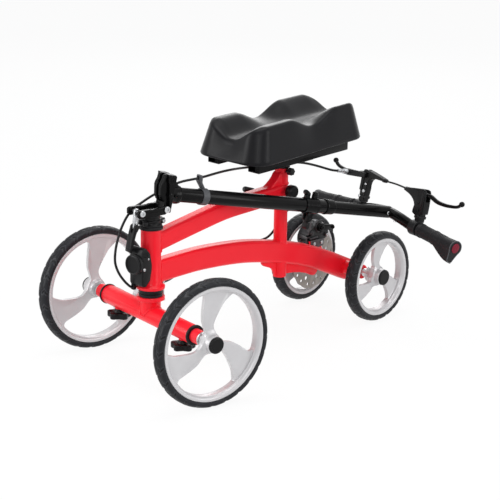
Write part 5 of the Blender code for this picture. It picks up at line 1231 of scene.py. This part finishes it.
clampCentre = halfBar[1].lerp(halfBar[2], (bar["bracketMiddle"] - halfBar[1].x)
                              / (halfBar[2].x - halfBar[1].x))
gripRoot = halfBar[2].lerp(halfBar[3], (bar["gripStart"] - halfBar[2].x)
                           / (halfBar[3].x - halfBar[2].x))
gripLong = (bar["gripEnd"] - bar["gripStart"]) / gripAxis.x
gripSeat = (Matrix.Translation(gripRoot)
            @ Vector((1.0, 0.0, 0.0)).rotation_difference(gripAxis).to_matrix().to_4x4())
palmSeat = gripSeat @ Matrix.Rotation(radians(palmTurn), 4, "X")
endPlane = gripLong - 0.0085
for label, side in (("left", 1), ("right", -1)):
    mirrored = Matrix.Diagonal((side, 1.0, 1.0, 1.0))

    # Grip: a collar, a waisted handle with fine ribs, and a palm rest on its rear side
    stations = [(0.0, 0.0141), (0.0008, 0.0150), (0.0060, 0.0152), (0.0075, 0.0150),
                (0.0085, 0.0136), (0.0110, 0.0134), (0.0130, 0.0141)]
    for start, stop in ((0.0130, 0.0480), (0.0570, gripLong - 0.040)):
        for rib in range(int((stop - start) / 0.0042)):
            place = start + 0.0042 * rib
            stations += [(place + 0.0012, 0.0143), (place + 0.0024, 0.0143),
                         (place + 0.0030, 0.0138), (place + 0.0036, 0.0138)]
        if start < 0.02:
            stations += [(0.0485, 0.0150), (0.0500, 0.0153), (0.0540, 0.0153), (0.0555, 0.0146)]
    stations += [(gripLong - 0.032, 0.0143), (gripLong - 0.022, 0.0148), (gripLong - 0.010, 0.0155)]
    profile = ([(0.0, 0.0)] + [(wide, far) for far, wide in stations]
               + [(0.0158, gripLong + 0.002), (0.0, gripLong + 0.002)])
    handle = spunSolid(profile, "X", 64)
    handle.transform(gripSeat)
    rest = pushedSolid(smoothOutline(flareOutline, 0.003), -0.0130, 0.0130, "Z", 0.0075, 6)
    for point in rest.verts:
        # Thick at the handle and thin at the tip.
        point.co.z *= 1.0 - 0.52 * min(1.0, max(0.0, point.co.y / 0.0325))
    rest.transform(palmSeat)
    offcut = boxSolid((endPlane, -0.06, -0.06), (endPlane + 0.04, 0.06, 0.06), 0.0)
    offcut.transform(palmSeat)
    boreLine = smoothRoute(barPoints, 0.012) + [Vector((0.2235, halfBar[3].y, halfBar[3].z))]
    handle = cutShapes(joinShapes(handle, rest), offcut,
                       sweptSolid(boreLine, roundSection(bar["radius"] + 0.0003, 32)))
    handle.transform(mirrored)
    addPiece(label + "Grip", handle, gripRubber, "upper_column", barPlace, [label + "_grip"],
             50.0)
    # The end face: a grey ring round the handle and palm rest, a painted highlight on the moulded rim,
    # and the red oval badge
    rimLine = smoothRoute([(endPlane, down, wide) for down, wide in (
        (-0.0150, 0.0), (-0.0106, 0.0106), (0.0, 0.0149), (0.0110, 0.0110), (0.0220, 0.0078),
        (0.0295, 0.0056), (0.0318, 0.0), (0.0295, -0.0056), (0.0220, -0.0078),
        (0.0110, -0.0110), (0.0, -0.0149), (-0.0106, -0.0106))], 0.0015, True)
    endRimHighlight = sweptSolid(rimLine, roundSection(0.0011, 10), (1.0, 0.0, 0.0), closed=True)
    endRimHighlight.transform(mirrored @ palmSeat)
    addPiece(label + "GripEndRimHighlight", endRimHighlight, greyNylon, "upper_column", barPlace, ())
    badge = spunSolid([(0.0, 0.0), (0.0098, 0.0), (0.0104, 0.0006), (0.0100, 0.0013),
                       (0.0070, 0.0018), (0.0, 0.0021)], "X", 48)
    badge.transform(mirrored @ palmSeat @ Matrix.Translation((endPlane + 0.0001, 0.0, 0.0))
                    @ Matrix.Diagonal((1.0, 1.0, 0.86, 1.0)))
    addPiece(label + "GripBadge", badge, redInsert, "upper_column", barPlace, ())

    # Brake bracket: clamp ring, web, lever pocket and the cable's nose
    deep = bar["bracketHalf"]
    bracket = pushedSolid(flipped(bracketOutline if side > 0 else slimOutline, side),
                          bracketHeight - deep, bracketHeight + deep, "Z", 0.0016, 3)
    ring = spunSolid([(0.0, -0.010), (0.0150, -0.010), (0.0158, -0.0092), (0.0158, 0.0092),
                      (0.0150, 0.010), (0.0, 0.010)], "X", 64,
                     (side * bar["bracketMiddle"], clampCentre.y, clampCentre.z))
    lug = boxSolid((min(side * 0.0855, side * 0.1015), 0.0125, bracketHeight - 0.0060),
                   (max(side * 0.0855, side * 0.1015), 0.0215, bracketHeight + 0.0060), 0.0016, 3)
    housing = pushedSolid(flipped([(0.0940, -0.0665), (0.1000, -0.0660), (0.1022, -0.0630),
                                   (0.1030, -0.0500), (0.1028, -0.0250), (0.0960, -0.0235),
                                   (0.0945, -0.0300)], side),
                          bracketHeight - deep - 0.0016, bracketHeight - deep + 0.002, "Z",
                          0.0012, 3)
    capBand = boxSolid((min(side * 0.0840, side * 0.1010), -0.0145, bracketHeight - 0.0105),
                       (max(side * 0.0840, side * 0.1010), -0.0085, bracketHeight + 0.0100),
                       0.0016, 3)
    parts = [ring, lug, housing, capBand]
    if side < 0:
        parts.append(pushedSolid(reachOutline, adjusterSeat, bracketHeight - deep + 0.002, "Z",
                                 0.0016, 3))
    bracket = joinShapes(bracket, *parts)
    near, far = sorted((side * 0.0865, side * 0.130))
    pocket = boxSolid((near, -0.080, bracketHeight - 0.0049),
                      (far, -0.0455, bracketHeight + 0.0049), 0.0)
    recess = [(0.0600, -0.0590), (0.0820, -0.0610), (0.0850, -0.0450), (0.0830, -0.0300),
              (0.0790, -0.0300), (0.0790, -0.0400), (0.0720, -0.0500)]
    lightening = pushedSolid(smoothOutline(flipped(recess, side), 0.002), bracketHeight + 0.0055,
                             bracketHeight + 0.0105, "Z", 0.0)
    bracket = cutShapes(bracket, pocket, lightening,
                        sweptSolid(smoothRoute(barPoints, 0.012),
                                   roundSection(bar["radius"] + 0.0003, 32)))
    bracket = gather(bracket, rodSolid(0.0025, bracketHeight - 0.007, bracketHeight + 0.007, "Z",
                                       28, (side * bladePivot.x, bladePivot.y, 0.0), 0.0))
    addPiece(label + "BrakeBracket", bracket, mouldedNylon, "upper_column", barPlace,
             [label + "_brake_bracket"], 40.0)
    screws = [hexHead(0.0046, bracketHeight + deep - 0.0004, bracketHeight + deep + 0.0018, "Z",
                      (side * bladePivot.x, bladePivot.y, 0.0)),
              hexHead(0.0036, bracketHeight + 0.0056, bracketHeight + 0.0084, "Z",
                      (side * 0.0935, 0.0172, 0.0)),
              hexHead(0.0028, bracketHeight + deep - 0.0004, bracketHeight + deep + 0.0014, "Z",
                      (side * 0.0935, -0.0240, 0.0))]
    addPiece(label + "BracketScrews", gather(*screws), zincSteel, "upper_column", barPlace, ())
    bolts = []
    for across, down, size in ((0.0885, -0.0245, 0.0036), (0.0960, -0.0125, 0.0032),
                               (0.0860, -0.0400, 0.0026)):
        face = bracketHeight - deep - (0.0026 if down > -0.015 else 0.0)
        bolt = hexHead(size, 0.0, 0.0018, "Z")
        bolt.transform(Matrix.Translation((side * across, down, face))
                       @ Matrix.Rotation(pi, 4, "X"))
        bolts.append(bolt)
    addPiece(label + "BracketBolts", gather(*bolts), mouldedNylon if side > 0 else zincSteel,
             "upper_column", barPlace, ())

    # Lever: a pressed blade that thins towards a ball end
    pivotPlaceHere = barPlace @ Matrix.Translation((side * bladePivot.x, bladePivot.y,
                                                    bracketHeight))
    bladePoints = [Vector((side * (first - bladePivot.x), second - bladePivot.y, 0.0))
                   for first, second in bladeLine]
    bladeRoute = smoothRoute(bladePoints, 0.0035)
    count = len(bladeRoute) - 1
    shares = [(1.0 - 0.30 * (step / count) ** 1.5, 1.0 - 0.20 * step / count)
              for step in range(count + 1)]
    blade = sweptSolid(bladeRoute, roundedSection(0.0086, 0.0088, 0.0030, 5), (0.0, 0.0, 1.0),
                       shares)
    knuckle = spunSolid([(0.0, -0.0045), (0.0052, -0.0045), (0.0056, -0.0040), (0.0056, 0.0040),
                         (0.0052, 0.0045), (0.0, 0.0045)], "Z", 40)
    ball = spunSolid([(0.0058 * sin(pi * step / 16), -0.0060 * cos(pi * step / 16))
                      for step in range(17)], "Z", 40,
                     (side * (0.2065 - bladePivot.x), -0.0655 - bladePivot.y, 0.0))
    blade = joinShapes(blade, knuckle, ball)
    blade = cutShapes(blade, rodSolid(0.0028, -0.02, 0.02, "Z", 28, (0.0, 0.0, 0.0), 0.0))
    addPiece(label + "BrakeLever", blade, blackEnamel, label + "_lever", pivotPlaceHere,
             [label + "_brake_lever"], 50.0)

adjusterTop = adjusterSeat - 0.0003
knurl = [adjusterTop - 0.0010 * step for step in range(10)]
adjusterShape = spunSolid(
    [(0.0, adjusterTop)] + [(0.0055 - (0.0004 if step % 2 else 0.0), high)
                            for step, high in enumerate(knurl)]
    + [(0.0052, adjusterTop - 0.0098), (0.0040, adjusterTop - 0.0105),
       (0.0040, adjusterTop - 0.0180), (0.0034, adjusterTop - 0.0184),
       (0.0034, adjusterTop - 0.0190), (0.0040, adjusterTop - 0.0194),
       (0.0040, adjusterSeat - adjusterLong + 0.0006), (0.0034, adjusterSeat - adjusterLong),
       (0.0, adjusterSeat - adjusterLong)], "Z", 40, (*adjusterPlace, 0.0))
addPiece("cableAdjuster", adjusterShape, zincSteel, "upper_column", barPlace, ["cable_adjuster"])
print("scene: handlebar made")


# ---- seat: post, carrier with two rails, the moulded pad and the height controls

seat = {
    "postRadius": 0.012, "postLow": 0.165, "railLow": 0.3807, "railTop": 0.3977,
    "railInner": 0.039, "railOuter": 0.069, "railFront": 0.236, "railRear": 0.514, "railBottom": 0.3779,
    "carrierLow": 0.3528, "padLow": 0.398,
}
postShape = spunSolid([(0.0, seat["postLow"]), (0.0112, seat["postLow"]),
                       (0.012, seat["postLow"] + 0.0008), (0.012, seat["railLow"] - 0.006),
                       (0.0, seat["railLow"] - 0.006)], "Z", 64)
postHoles = [rodSolid(0.0033, 0.0085, 0.02, "X", 24, (0.0, 0.0, height), 0.0)
             for height in (0.185, 0.205, 0.225, 0.245, 0.265)]
addPiece("seatPost", cutShapes(postShape, *postHoles), zincSteel, "seat", seatPlace,
         ["seat_post"])

socketShape = spunSolid([(0.0, seat["carrierLow"]), (0.0170, seat["carrierLow"]),
                         (0.0175, seat["carrierLow"] + 0.0006), (0.0175, 0.3700),
                         (0.0182, 0.3735), (0.0205, 0.3765), (0.0, 0.3765)], "Z", 72)
plateShape = boxSolid((-0.065, -0.024, 0.3757), (0.065, 0.024, 0.3827), 0.0012, 2)
rails = []
for side in (1, -1):
    low, high = sorted((side * seat["railInner"], side * seat["railOuter"]))
    rail = boxSolid((low, seat["railFront"] - seatAt, seat["railBottom"]),
                    (high, seat["railRear"] - seatAt, seat["railTop"]), 0.0018, 3)
    ends = [boxSolid((low + 0.0025, y, seat["railBottom"] + 0.0025),
                     (high - 0.0025, y + 0.02, seat["railTop"] - 0.0020), 0.0)
            for y in (seat["railFront"] - seatAt - 0.0100, seat["railRear"] - seatAt - 0.0100)]
    rails.append(cutShapes(rail, *ends))
carrierShape = joinShapes(plateShape, socketShape, *rails)
carrierShape = cutShapes(carrierShape, rodSolid(0.0123, 0.345, seat["railLow"] - 0.0057, "Z", 64,
                                                (0.0, 0.0, 0.0), 0.0))
addPiece("padCarrier", carrierShape, blackEnamel, "seat", seatPlace, ["pad_carrier"])
addPiece("carrierScrews", gather(*[
    spunSolid([(0.0, 0.3732), (0.0042, 0.3732), (0.0046, 0.3740), (0.0046, 0.3760),
               (0.0, 0.3760)], "Z", 6, (x, y, 0.0)) for x in (-0.046, 0.046)
    for y in (-0.015, 0.015)]), zincSteel, "seat", seatPlace, ())

# Pad: one grid pushed up into two pairs of lobes with a shin groove between them
pad = {
    "topWide": 0.0735, "topLong": 0.1640, "flareWide": 0.157, "flareLong": 0.092,
    "taper": 0.052, "turnedOut": 0.0020, "bottom": seat["padLow"], "corner": 0.036,
    "edgeRound": 0.0095, "across": 56, "along": 104,
}


def padTop(u, v, side):
    # u runs 0 to 1 from the middle line to a long side, v runs -1 to 1 from the front.
    frontLobe = 0.4695 + 0.0035 * side
    rearLobe = 0.4730 + 0.0035 * side
    waist = 0.4475 + 0.0035 * side
    shift = 0.14 * side
    crest = frontLobe + (waist - frontLobe) * smoothStep(-0.50 + shift, -0.08 + shift, v)
    crest += (rearLobe - waist) * smoothStep(-0.07 + shift, 0.40 + shift, v)
    crest -= 0.006 * smoothStep(0.80, 1.0, abs(v))
    groove = 0.4405 + 0.0030 * smoothStep(-1.0, 0.2, v)
    width = 0.80 + 0.18 * smoothStep(-0.1, 0.6, v)
    return groove + (crest - groove) * smoothStep(0.05, width, u)


def padShape():
    shape = bmesh.new()
    bmesh.ops.create_grid(shape, x_segments=pad["across"], y_segments=pad["along"], size=1.0)
    boundary = [edge for edge in shape.edges if edge.is_boundary]
    wide, tall = pad["topWide"], pad["topLong"]
    for point in shape.verts:
        a = sin(point.co.x * pi / 2) * 0.35 + point.co.x * 0.65
        b = sin(point.co.y * pi / 2) * 0.35 + point.co.y * 0.65
        # The square grid is drawn in to a rounded rectangle.
        x, y = a * wide, b * tall
        corner = pad["corner"]
        reach = max(abs(a), abs(b))
        core = (wide - corner, tall - corner)
        if reach > 0.0:
            edgeX, edgeY = x / reach, y / reach
            overX, overY = abs(edgeX) - core[0], abs(edgeY) - core[1]
            if overX > 0.0 and overY > 0.0:
                length = sqrt(overX ** 2 + overY ** 2)
                squeeze = corner * max(overX, overY) / corner / length
                edgeX = (core[0] + overX * squeeze) * (1 if edgeX > 0 else -1)
                edgeY = (core[1] + overY * squeeze) * (1 if edgeY > 0 else -1)
            x, y = edgeX * reach, edgeY * reach
        top = padTop(min(1.0, abs(x) / wide), y / tall, 1 if x > 0 else 0)
        # The rim rolls over into the side wall.
        away = min(wide - abs(x), tall - abs(y))
        overX, overY = abs(x) - core[0], abs(y) - core[1]
        if overX > 0.0 and overY > 0.0:
            away = corner - sqrt(overX ** 2 + overY ** 2)
        roll = pad["edgeRound"]
        if away < roll:
            top -= roll - sqrt(max(0.0, roll ** 2 - (roll - max(0.0, away)) ** 2))
        point.co = (x, y, top)
    edges = boundary
    levels = 9
    starts = {}
    for level in range(1, levels + 1):
        grown = bmesh.ops.extrude_edge_only(shape, edges=edges)["geom"]
        fresh = [item for item in grown if isinstance(item, bmesh.types.BMVert)]
        edges = [item for item in grown if isinstance(item, bmesh.types.BMEdge)]
        share = level / levels
        for point in fresh:
            rim = starts.pop(tuple(round(value, 6) for value in point.co), None)
            rim = rim or point.co.copy()
            height = rim.z + (pad["bottom"] + 0.0035 - rim.z) * share
            point.co = (rim.x * (1.0 + pad["flareWide"] * share),
                        rim.y * (1.0 + pad["flareLong"] * share), height)
            starts[tuple(round(value, 6) for value in point.co)] = rim
    for inset, height in ((0.0010, 0.0010), (0.0035, 0.0)):
        grown = bmesh.ops.extrude_edge_only(shape, edges=edges)["geom"]
        fresh = [item for item in grown if isinstance(item, bmesh.types.BMVert)]
        edges = [item for item in grown if isinstance(item, bmesh.types.BMEdge)]
        for point in fresh:
            point.co.x *= 1.0 - inset / pad["topWide"]
            point.co.y *= 1.0 - inset / pad["topLong"]
            point.co.z = pad["bottom"] + height
    bmesh.ops.holes_fill(shape, edges=edges, sides=0)
    # The pad is a little wider in front, and sits turned out by a hair.
    for point in shape.verts:
        ahead = -point.co.y / pad["topLong"]
        point.co.x = point.co.x * (1.0 + pad["taper"] * ahead) + pad["turnedOut"] * (1.0 + ahead)
    return shape


kneePad = addPiece("kneePad", padShape(), padSkin, "seat", seatPlace, ["knee_pad"],
                   180.0)

pinShape = spunSolid([(0.0, 0.0128), (0.003, 0.0128), (0.003, 0.0165), (0.0062, 0.0165),
                      (0.0066, 0.0172), (0.0066, 0.0210), (0.0118, 0.0212), (0.0134, 0.0222),
                      (0.0140, 0.0240), (0.0140, 0.0335), (0.0132, 0.0354), (0.0116, 0.0368),
                      (0.0100, 0.0370), (0.0094, 0.0364), (0.0, 0.0362)], "X", 64)
addPiece("seatHeightPin", pinShape, mouldedNylon, "height_pin",
         seatPlace @ Matrix.Translation((0.0, 0.0, 0.305)), ["seat_height_pin"])
clampKnob = pushedSolid(lobedOutline(0.0078, 6, 0.0012, 96), 0.0, 0.012, "X", 0.0012, 2)
clampKnob = gather(clampKnob, rodSolid(0.003, 0.0128 - 0.0185, 0.001, "X", 28))
addPiece("seatClampKnob", clampKnob, mouldedNylon, "clamp_knob",
         seatPlace @ Matrix.Translation((0.0185, 0.0, 0.347)), ["seat_clamp_knob"])
seatLever = spunSolid([(0.0, 0.0128), (0.003, 0.0128), (0.003, 0.0165), (0.0076, 0.0165),
                       (0.008, 0.0170), (0.008, 0.0298), (0.0074, 0.0312), (0.0062, 0.0340),
                       (0.0056, 0.0345), (0.0, 0.0345)], "X", 48)
leverLine = Vector((0.0, seatAt - 0.2965, 0.318 - 0.2875))
leverRoot = Vector((0.0245, 0.0, 0.0))
stick = sweptSolid([leverRoot + leverLine * (0.03 + 0.09 * step) for step in range(9)],
                   roundSection(0.0035, 24), (1.0, 0.0, 0.0))
sleeveRoute = [leverRoot + leverLine * (0.66 + 0.34 * step / 14) for step in range(15)]
sleeveShares = [(0.80, 0.80), (0.96, 0.96)] + [(1.0, 1.0)] * 10 + [(0.98, 0.98), (0.86, 0.86),
                                                                  (0.55, 0.55)]
sleeve = sweptSolid(sleeveRoute, roundSection(0.0062, 32), (1.0, 0.0, 0.0), sleeveShares)
turnRound = Matrix.Rotation(pi, 4, "Z")
leverAt = seatPlace @ Matrix.Translation((0.0, 0.0, 0.2875)) @ turnRound
addPiece("seatClampLever", gather(seatLever, stick), zincSteel, "clamp_lever", leverAt,
         ["seat_clamp_lever"])
addPiece("seatLeverSleeve", sleeve, mouldedNylon, "clamp_lever", leverAt, ())
print("scene: seat made")


# ---- cables: the brake cable from the levers to the splitter, and on to the calliper

cable = {"radius": 0.0025, "linkRadius": 0.002, "spacing": 0.006}


def addCable(name, route, radius, body, nodes, joined=None):
    # route is in the row frame. A cable that crosses a joint is attached to neither of the
    # two bodies that the joint joins, and stays where it is drawn.
    ahead = (route[-1] - route[0]).normalized()
    up = Vector((0.0, 0.0, 1.0)) if abs(ahead.z) < 0.8 else Vector((0.0, 1.0, 0.0))
    shape = tubeShape(route, radius)
    mesh = meshOf(shape, name)
    mesh.shade_smooth()
    mesh.set_sharp_from_angle(angle=radians(50.0))
    mesh.materials.append(cableJacket)
    piece = bpy.data.objects.new(name, mesh)
    bpy.context.collection.objects.link(piece)
    if joined:
        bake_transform(piece)
    else:
        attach(piece, body)
    if nodes:
        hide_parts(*nodes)
    return piece


def tubeShape(route, radius, steps=18):
    # The ring is carried along the route without twisting.
    shape = bmesh.new()
    ahead = (route[1] - route[0]).normalized()
    across = ahead.orthogonal().normalized()
    frames = []
    for index, place in enumerate(route):
        following = (route[min(index + 1, len(route) - 1)] - route[max(index - 1, 0)]).normalized()
        across = (ahead.rotation_difference(following) @ across).normalized()
        across = (across - following * across.dot(following)).normalized()
        ahead = following
        rise = ahead.cross(across)
        frames.append(Matrix(((across.x, rise.x, ahead.x, place.x),
                              (across.y, rise.y, ahead.y, place.y),
                              (across.z, rise.z, ahead.z, place.z), (0.0, 0.0, 0.0, 1.0))))
    ring = bmesh.ops.create_circle(shape, segments=steps, radius=radius, matrix=frames[0])
    edges = list(shape.edges)
    before = frames[0]
    for frameHere in frames[1:]:
        grown = bmesh.ops.extrude_edge_only(shape, edges=edges)["geom"]
        fresh = [item for item in grown if isinstance(item, bmesh.types.BMVert)]
        edges = [item for item in grown if isinstance(item, bmesh.types.BMEdge)]
        bmesh.ops.transform(shape, matrix=frameHere @ before.inverted(), verts=fresh)
        before = frameHere
    bmesh.ops.holes_fill(shape, edges=shape.edges, sides=0)
    return shape


inlet = Vector((-0.0125, -0.0388, 0.1870))
toFront = Matrix.Rotation(-radians(placing["steerTurn"]), 4, "Z")
adjusterEnd = Vector((*adjusterPlace, adjusterSeat - adjusterLong - 0.0003))
adjusterEnd.y += offset
clipEye = Vector((0.0, eyeBack, 0.078))
mainPoints = [adjusterEnd, adjusterEnd - Vector((0.0, 0.0, 0.012)), folded(-0.1304, 0.4596, 0.3388),
              folded(-0.1138, 0.3185, 0.3533), folded(-0.060, 0.220, 0.372), clipEye,
              folded(-0.012, 0.070, 0.380), folded(-0.030, 0.022, 0.357),
              folded(-0.030, -0.004, 0.346), folded(-0.0285, -0.0235, 0.338),
              folded(-0.0275, -0.0400, 0.3215), folded(-0.0235, -0.0550, 0.3010),
              folded(-0.0190, -0.0660, 0.2795), folded(-0.0155, -0.0725, 0.2590),
              folded(-0.0138, -0.0735, 0.2400), folded(-0.0120, -0.0675, 0.2210),
              folded(-0.0090, -0.0575, 0.2042), folded(-0.0060, -0.0480, 0.1930),
              folded(*(toFront @ inlet))]
mainRoute = [foldPlace @ point for point in smoothRoute(mainPoints, cable["spacing"])]
clipAt = min(range(len(mainRoute)), key=lambda at: (mainRoute[at] - foldPlace @ clipEye).length)
yokeSpot = foldPlace @ folded(-0.0285, -0.0235, 0.338)
yokeAt = min(range(len(mainRoute)), key=lambda at: (mainRoute[at] - yokeSpot).length)
addCable("brakeCableUpper", mainRoute[:clipAt + 1], cable["radius"], None, ["main_brake_cable"],
         ("upper_column", "column"))
addCable("brakeCableMiddle", mainRoute[clipAt:yokeAt + 1], cable["radius"], None, (),
         ("column", "steering"))
addCable("brakeCableLower", mainRoute[yokeAt:], cable["radius"], None, (), ("steering", "frame"))

noseAt = 0.0337
linkPoints = [Vector((-noseAt, -0.0588, bracketHeight)), Vector((-0.017, -0.0595, bracketHeight)),
              Vector((0.0, -0.0600, bracketHeight)), Vector((0.017, -0.0595, bracketHeight)),
              Vector((noseAt, -0.0588, bracketHeight))]
addCable("leverLinkCable", [barPlace @ point for point in smoothRoute(linkPoints, 0.004)],
         cable["linkRadius"], "upper_column", ["lever_link_cable"])

rearPoints = [(-0.0125, -0.0307, 0.1870), (-0.0125, -0.0275, 0.1870), (-0.0235, -0.0215, 0.1865),
              (-0.0305, -0.0040, 0.1790), (-0.0285, 0.0280, 0.1735), (-0.0200, 0.0680, 0.1760),
              (-0.0192, 0.1200, 0.1900), (-0.0190, 0.2000, 0.1980), (-0.0190, 0.3000, 0.2030),
              (-0.0200, 0.3700, 0.2020), (-0.0350, 0.4400, 0.2350), (-0.0500, 0.5000, 0.2500),
              (-0.0595, 0.5400, 0.2370), (-0.0620, 0.5520, 0.2150), (-0.0620, 0.5520, 0.2033)]
addCable("rearBrakeCable", [walkerPlace @ point for point in smoothRoute(rearPoints, 0.005)],
         cable["radius"], "frame", ["rear_brake_cable"])

# Nose boots where a cable leaves a bracket
for label, side in (("left", 1), ("right", -1)):
    boot = spunSolid([(0.0, 0.0300), (0.0029, 0.0300), (0.0036, 0.0308), (0.0044, 0.0360),
                      (0.0046, 0.0420), (0.0, 0.0420)], "X", 32)
    boot.transform(Matrix.Translation((0.0, -0.0588, bracketHeight))
                   @ Matrix.Rotation(0.0 if side > 0 else pi, 4, "Z"))
    addPiece(label + "CableBoot", boot, mouldedNylon, "upper_column", barPlace, ())
print("scene: cables made")


# ---- camera, floor and light

photo = {
    "lens": 170.28, "sensor": 36.0, "place": (3.048, -3.172, 1.6061),
    "right": (0.74719463, 0.66439425, 0.0167472),
    "up": (-0.20639956, 0.20802205, 0.95609939),
    "back": (0.63174315, -0.71784895, 0.29256364),
}
view = bpy.data.cameras.new("photoCamera")
view.lens = photo["lens"]
view.sensor_width = photo["sensor"]
view.clip_end = 60.0
viewer = bpy.data.objects.new("photoCamera", view)
bpy.context.collection.objects.link(viewer)
turn = Matrix((photo["right"], photo["up"], photo["back"])).transposed().to_4x4()
viewer.matrix_world = walkerPlace @ Matrix.Translation(photo["place"]) @ turn
bpy.context.scene.camera = viewer

# Floor: matt white sweep. To the camera it is paper white, and keeps the soft shadow.
floorFinish = bpy.data.materials.new("whitePaperSweep")
floorFinish.use_nodes = True
floorTree = floorFinish.node_tree
floorShader = floorTree.nodes["Principled BSDF"]
floorShader.inputs["Base Color"].default_value = hexColour("#F4F4F4")
floorShader.inputs["Roughness"].default_value = 0.9
floorOutput = floorTree.nodes["Material Output"]
ray = addNode(floorTree, "ShaderNodeLightPath")
white = addNode(floorTree, "ShaderNodeEmission", {"Color": (1.0, 1.0, 1.0, 1.0), "Strength": 1.0})
seen = addNode(floorTree, "ShaderNodeMath", {"operation": "ADD"},
               {0: ray.outputs["Is Camera Ray"], 1: ray.outputs["Is Glossy Ray"]})
share = addNode(floorTree, "ShaderNodeMath", {"operation": "MULTIPLY", "use_clamp": True, 1: 0.92},
                {0: seen.outputs["Value"]})
mixedFloor = addNode(floorTree, "ShaderNodeMixShader", {},
                     {0: share.outputs["Value"], 1: floorShader.outputs["BSDF"],
                      2: white.outputs["Emission"]})
floorTree.links.new(mixedFloor.outputs["Shader"], floorOutput.inputs["Surface"])
floorShape = bmesh.new()
bmesh.ops.create_grid(floorShape, x_segments=2, y_segments=2, size=6.0,
                      matrix=Matrix.Translation((0.0, 0.0, -0.0004)))
floorMesh = bpy.data.meshes.new("studioFloor")
floorShape.to_mesh(floorMesh)
floorShape.free()
floorMesh.materials.append(floorFinish)
floor = bpy.data.objects.new("studioFloor", floorMesh)
bpy.context.collection.objects.link(floor)

world = bpy.data.worlds.new("studioRoom")
bpy.context.scene.world = world
world.use_nodes = True
worldTree = world.node_tree
room = worldTree.nodes["Background"]
room.inputs["Color"].default_value = (0.92, 0.94, 0.97, 1.0)
room.inputs["Strength"].default_value = 0.55
backdrop = addNode(worldTree, "ShaderNodeBackground", {"Color": (1.0, 1.0, 1.0, 1.0),
                                                       "Strength": 1.0})
worldRay = addNode(worldTree, "ShaderNodeLightPath")
worldEither = addNode(worldTree, "ShaderNodeMath", {"operation": "ADD", "use_clamp": True},
                      {0: worldRay.outputs["Is Camera Ray"],
                       1: worldRay.outputs["Is Transmission Ray"]})
worldSeen = addNode(worldTree, "ShaderNodeMath", {"operation": "ADD", "use_clamp": True},
                    {0: worldEither.outputs["Value"], 1: worldRay.outputs["Is Glossy Ray"]})
worldMix = addNode(worldTree, "ShaderNodeMixShader", {},
                   {0: worldSeen.outputs["Value"], 1: room.outputs["Background"],
                    2: backdrop.outputs["Background"]})
worldTree.links.new(worldMix.outputs["Shader"], worldTree.nodes["World Output"].inputs["Surface"])


def addSoftbox(name, place, aim, wide, tall, power):
    lamp = bpy.data.lights.new(name, "AREA")
    lamp.shape = "RECTANGLE"
    lamp.size = wide
    lamp.size_y = tall
    lamp.energy = power
    holder = bpy.data.objects.new(name, lamp)
    bpy.context.collection.objects.link(holder)
    direction = Vector(aim) - Vector(place)
    holder.matrix_world = (Matrix.Translation(place)
                           @ direction.to_track_quat("-Z", "Y").to_matrix().to_4x4())
    return holder


addSoftbox("topSoftbox", (0.1, 0.0, 2.3), (0.0, 0.05, 0.2), 1.8, 1.4, 26.0)
addSoftbox("leftSoftbox", (-1.4, -1.9, 0.9), (0.0, 0.0, 0.3), 0.8, 1.4, 22.0)
addSoftbox("rightSoftbox", (2.3, 0.9, 1.1), (0.0, 0.1, 0.2), 0.8, 1.6, 19.0)
addSoftbox("cameraSoftbox", (1.9, -1.9, 1.5), (0.0, 0.1, 0.2), 1.0, 1.0, 14.0)
addSoftbox("rimSoftbox", (-1.6, 1.9, 1.3), (0.0, 0.1, 0.2), 1.0, 1.4, 12.0)

bpy.context.scene.view_settings.view_transform = "Standard"
print("scene: stage made")
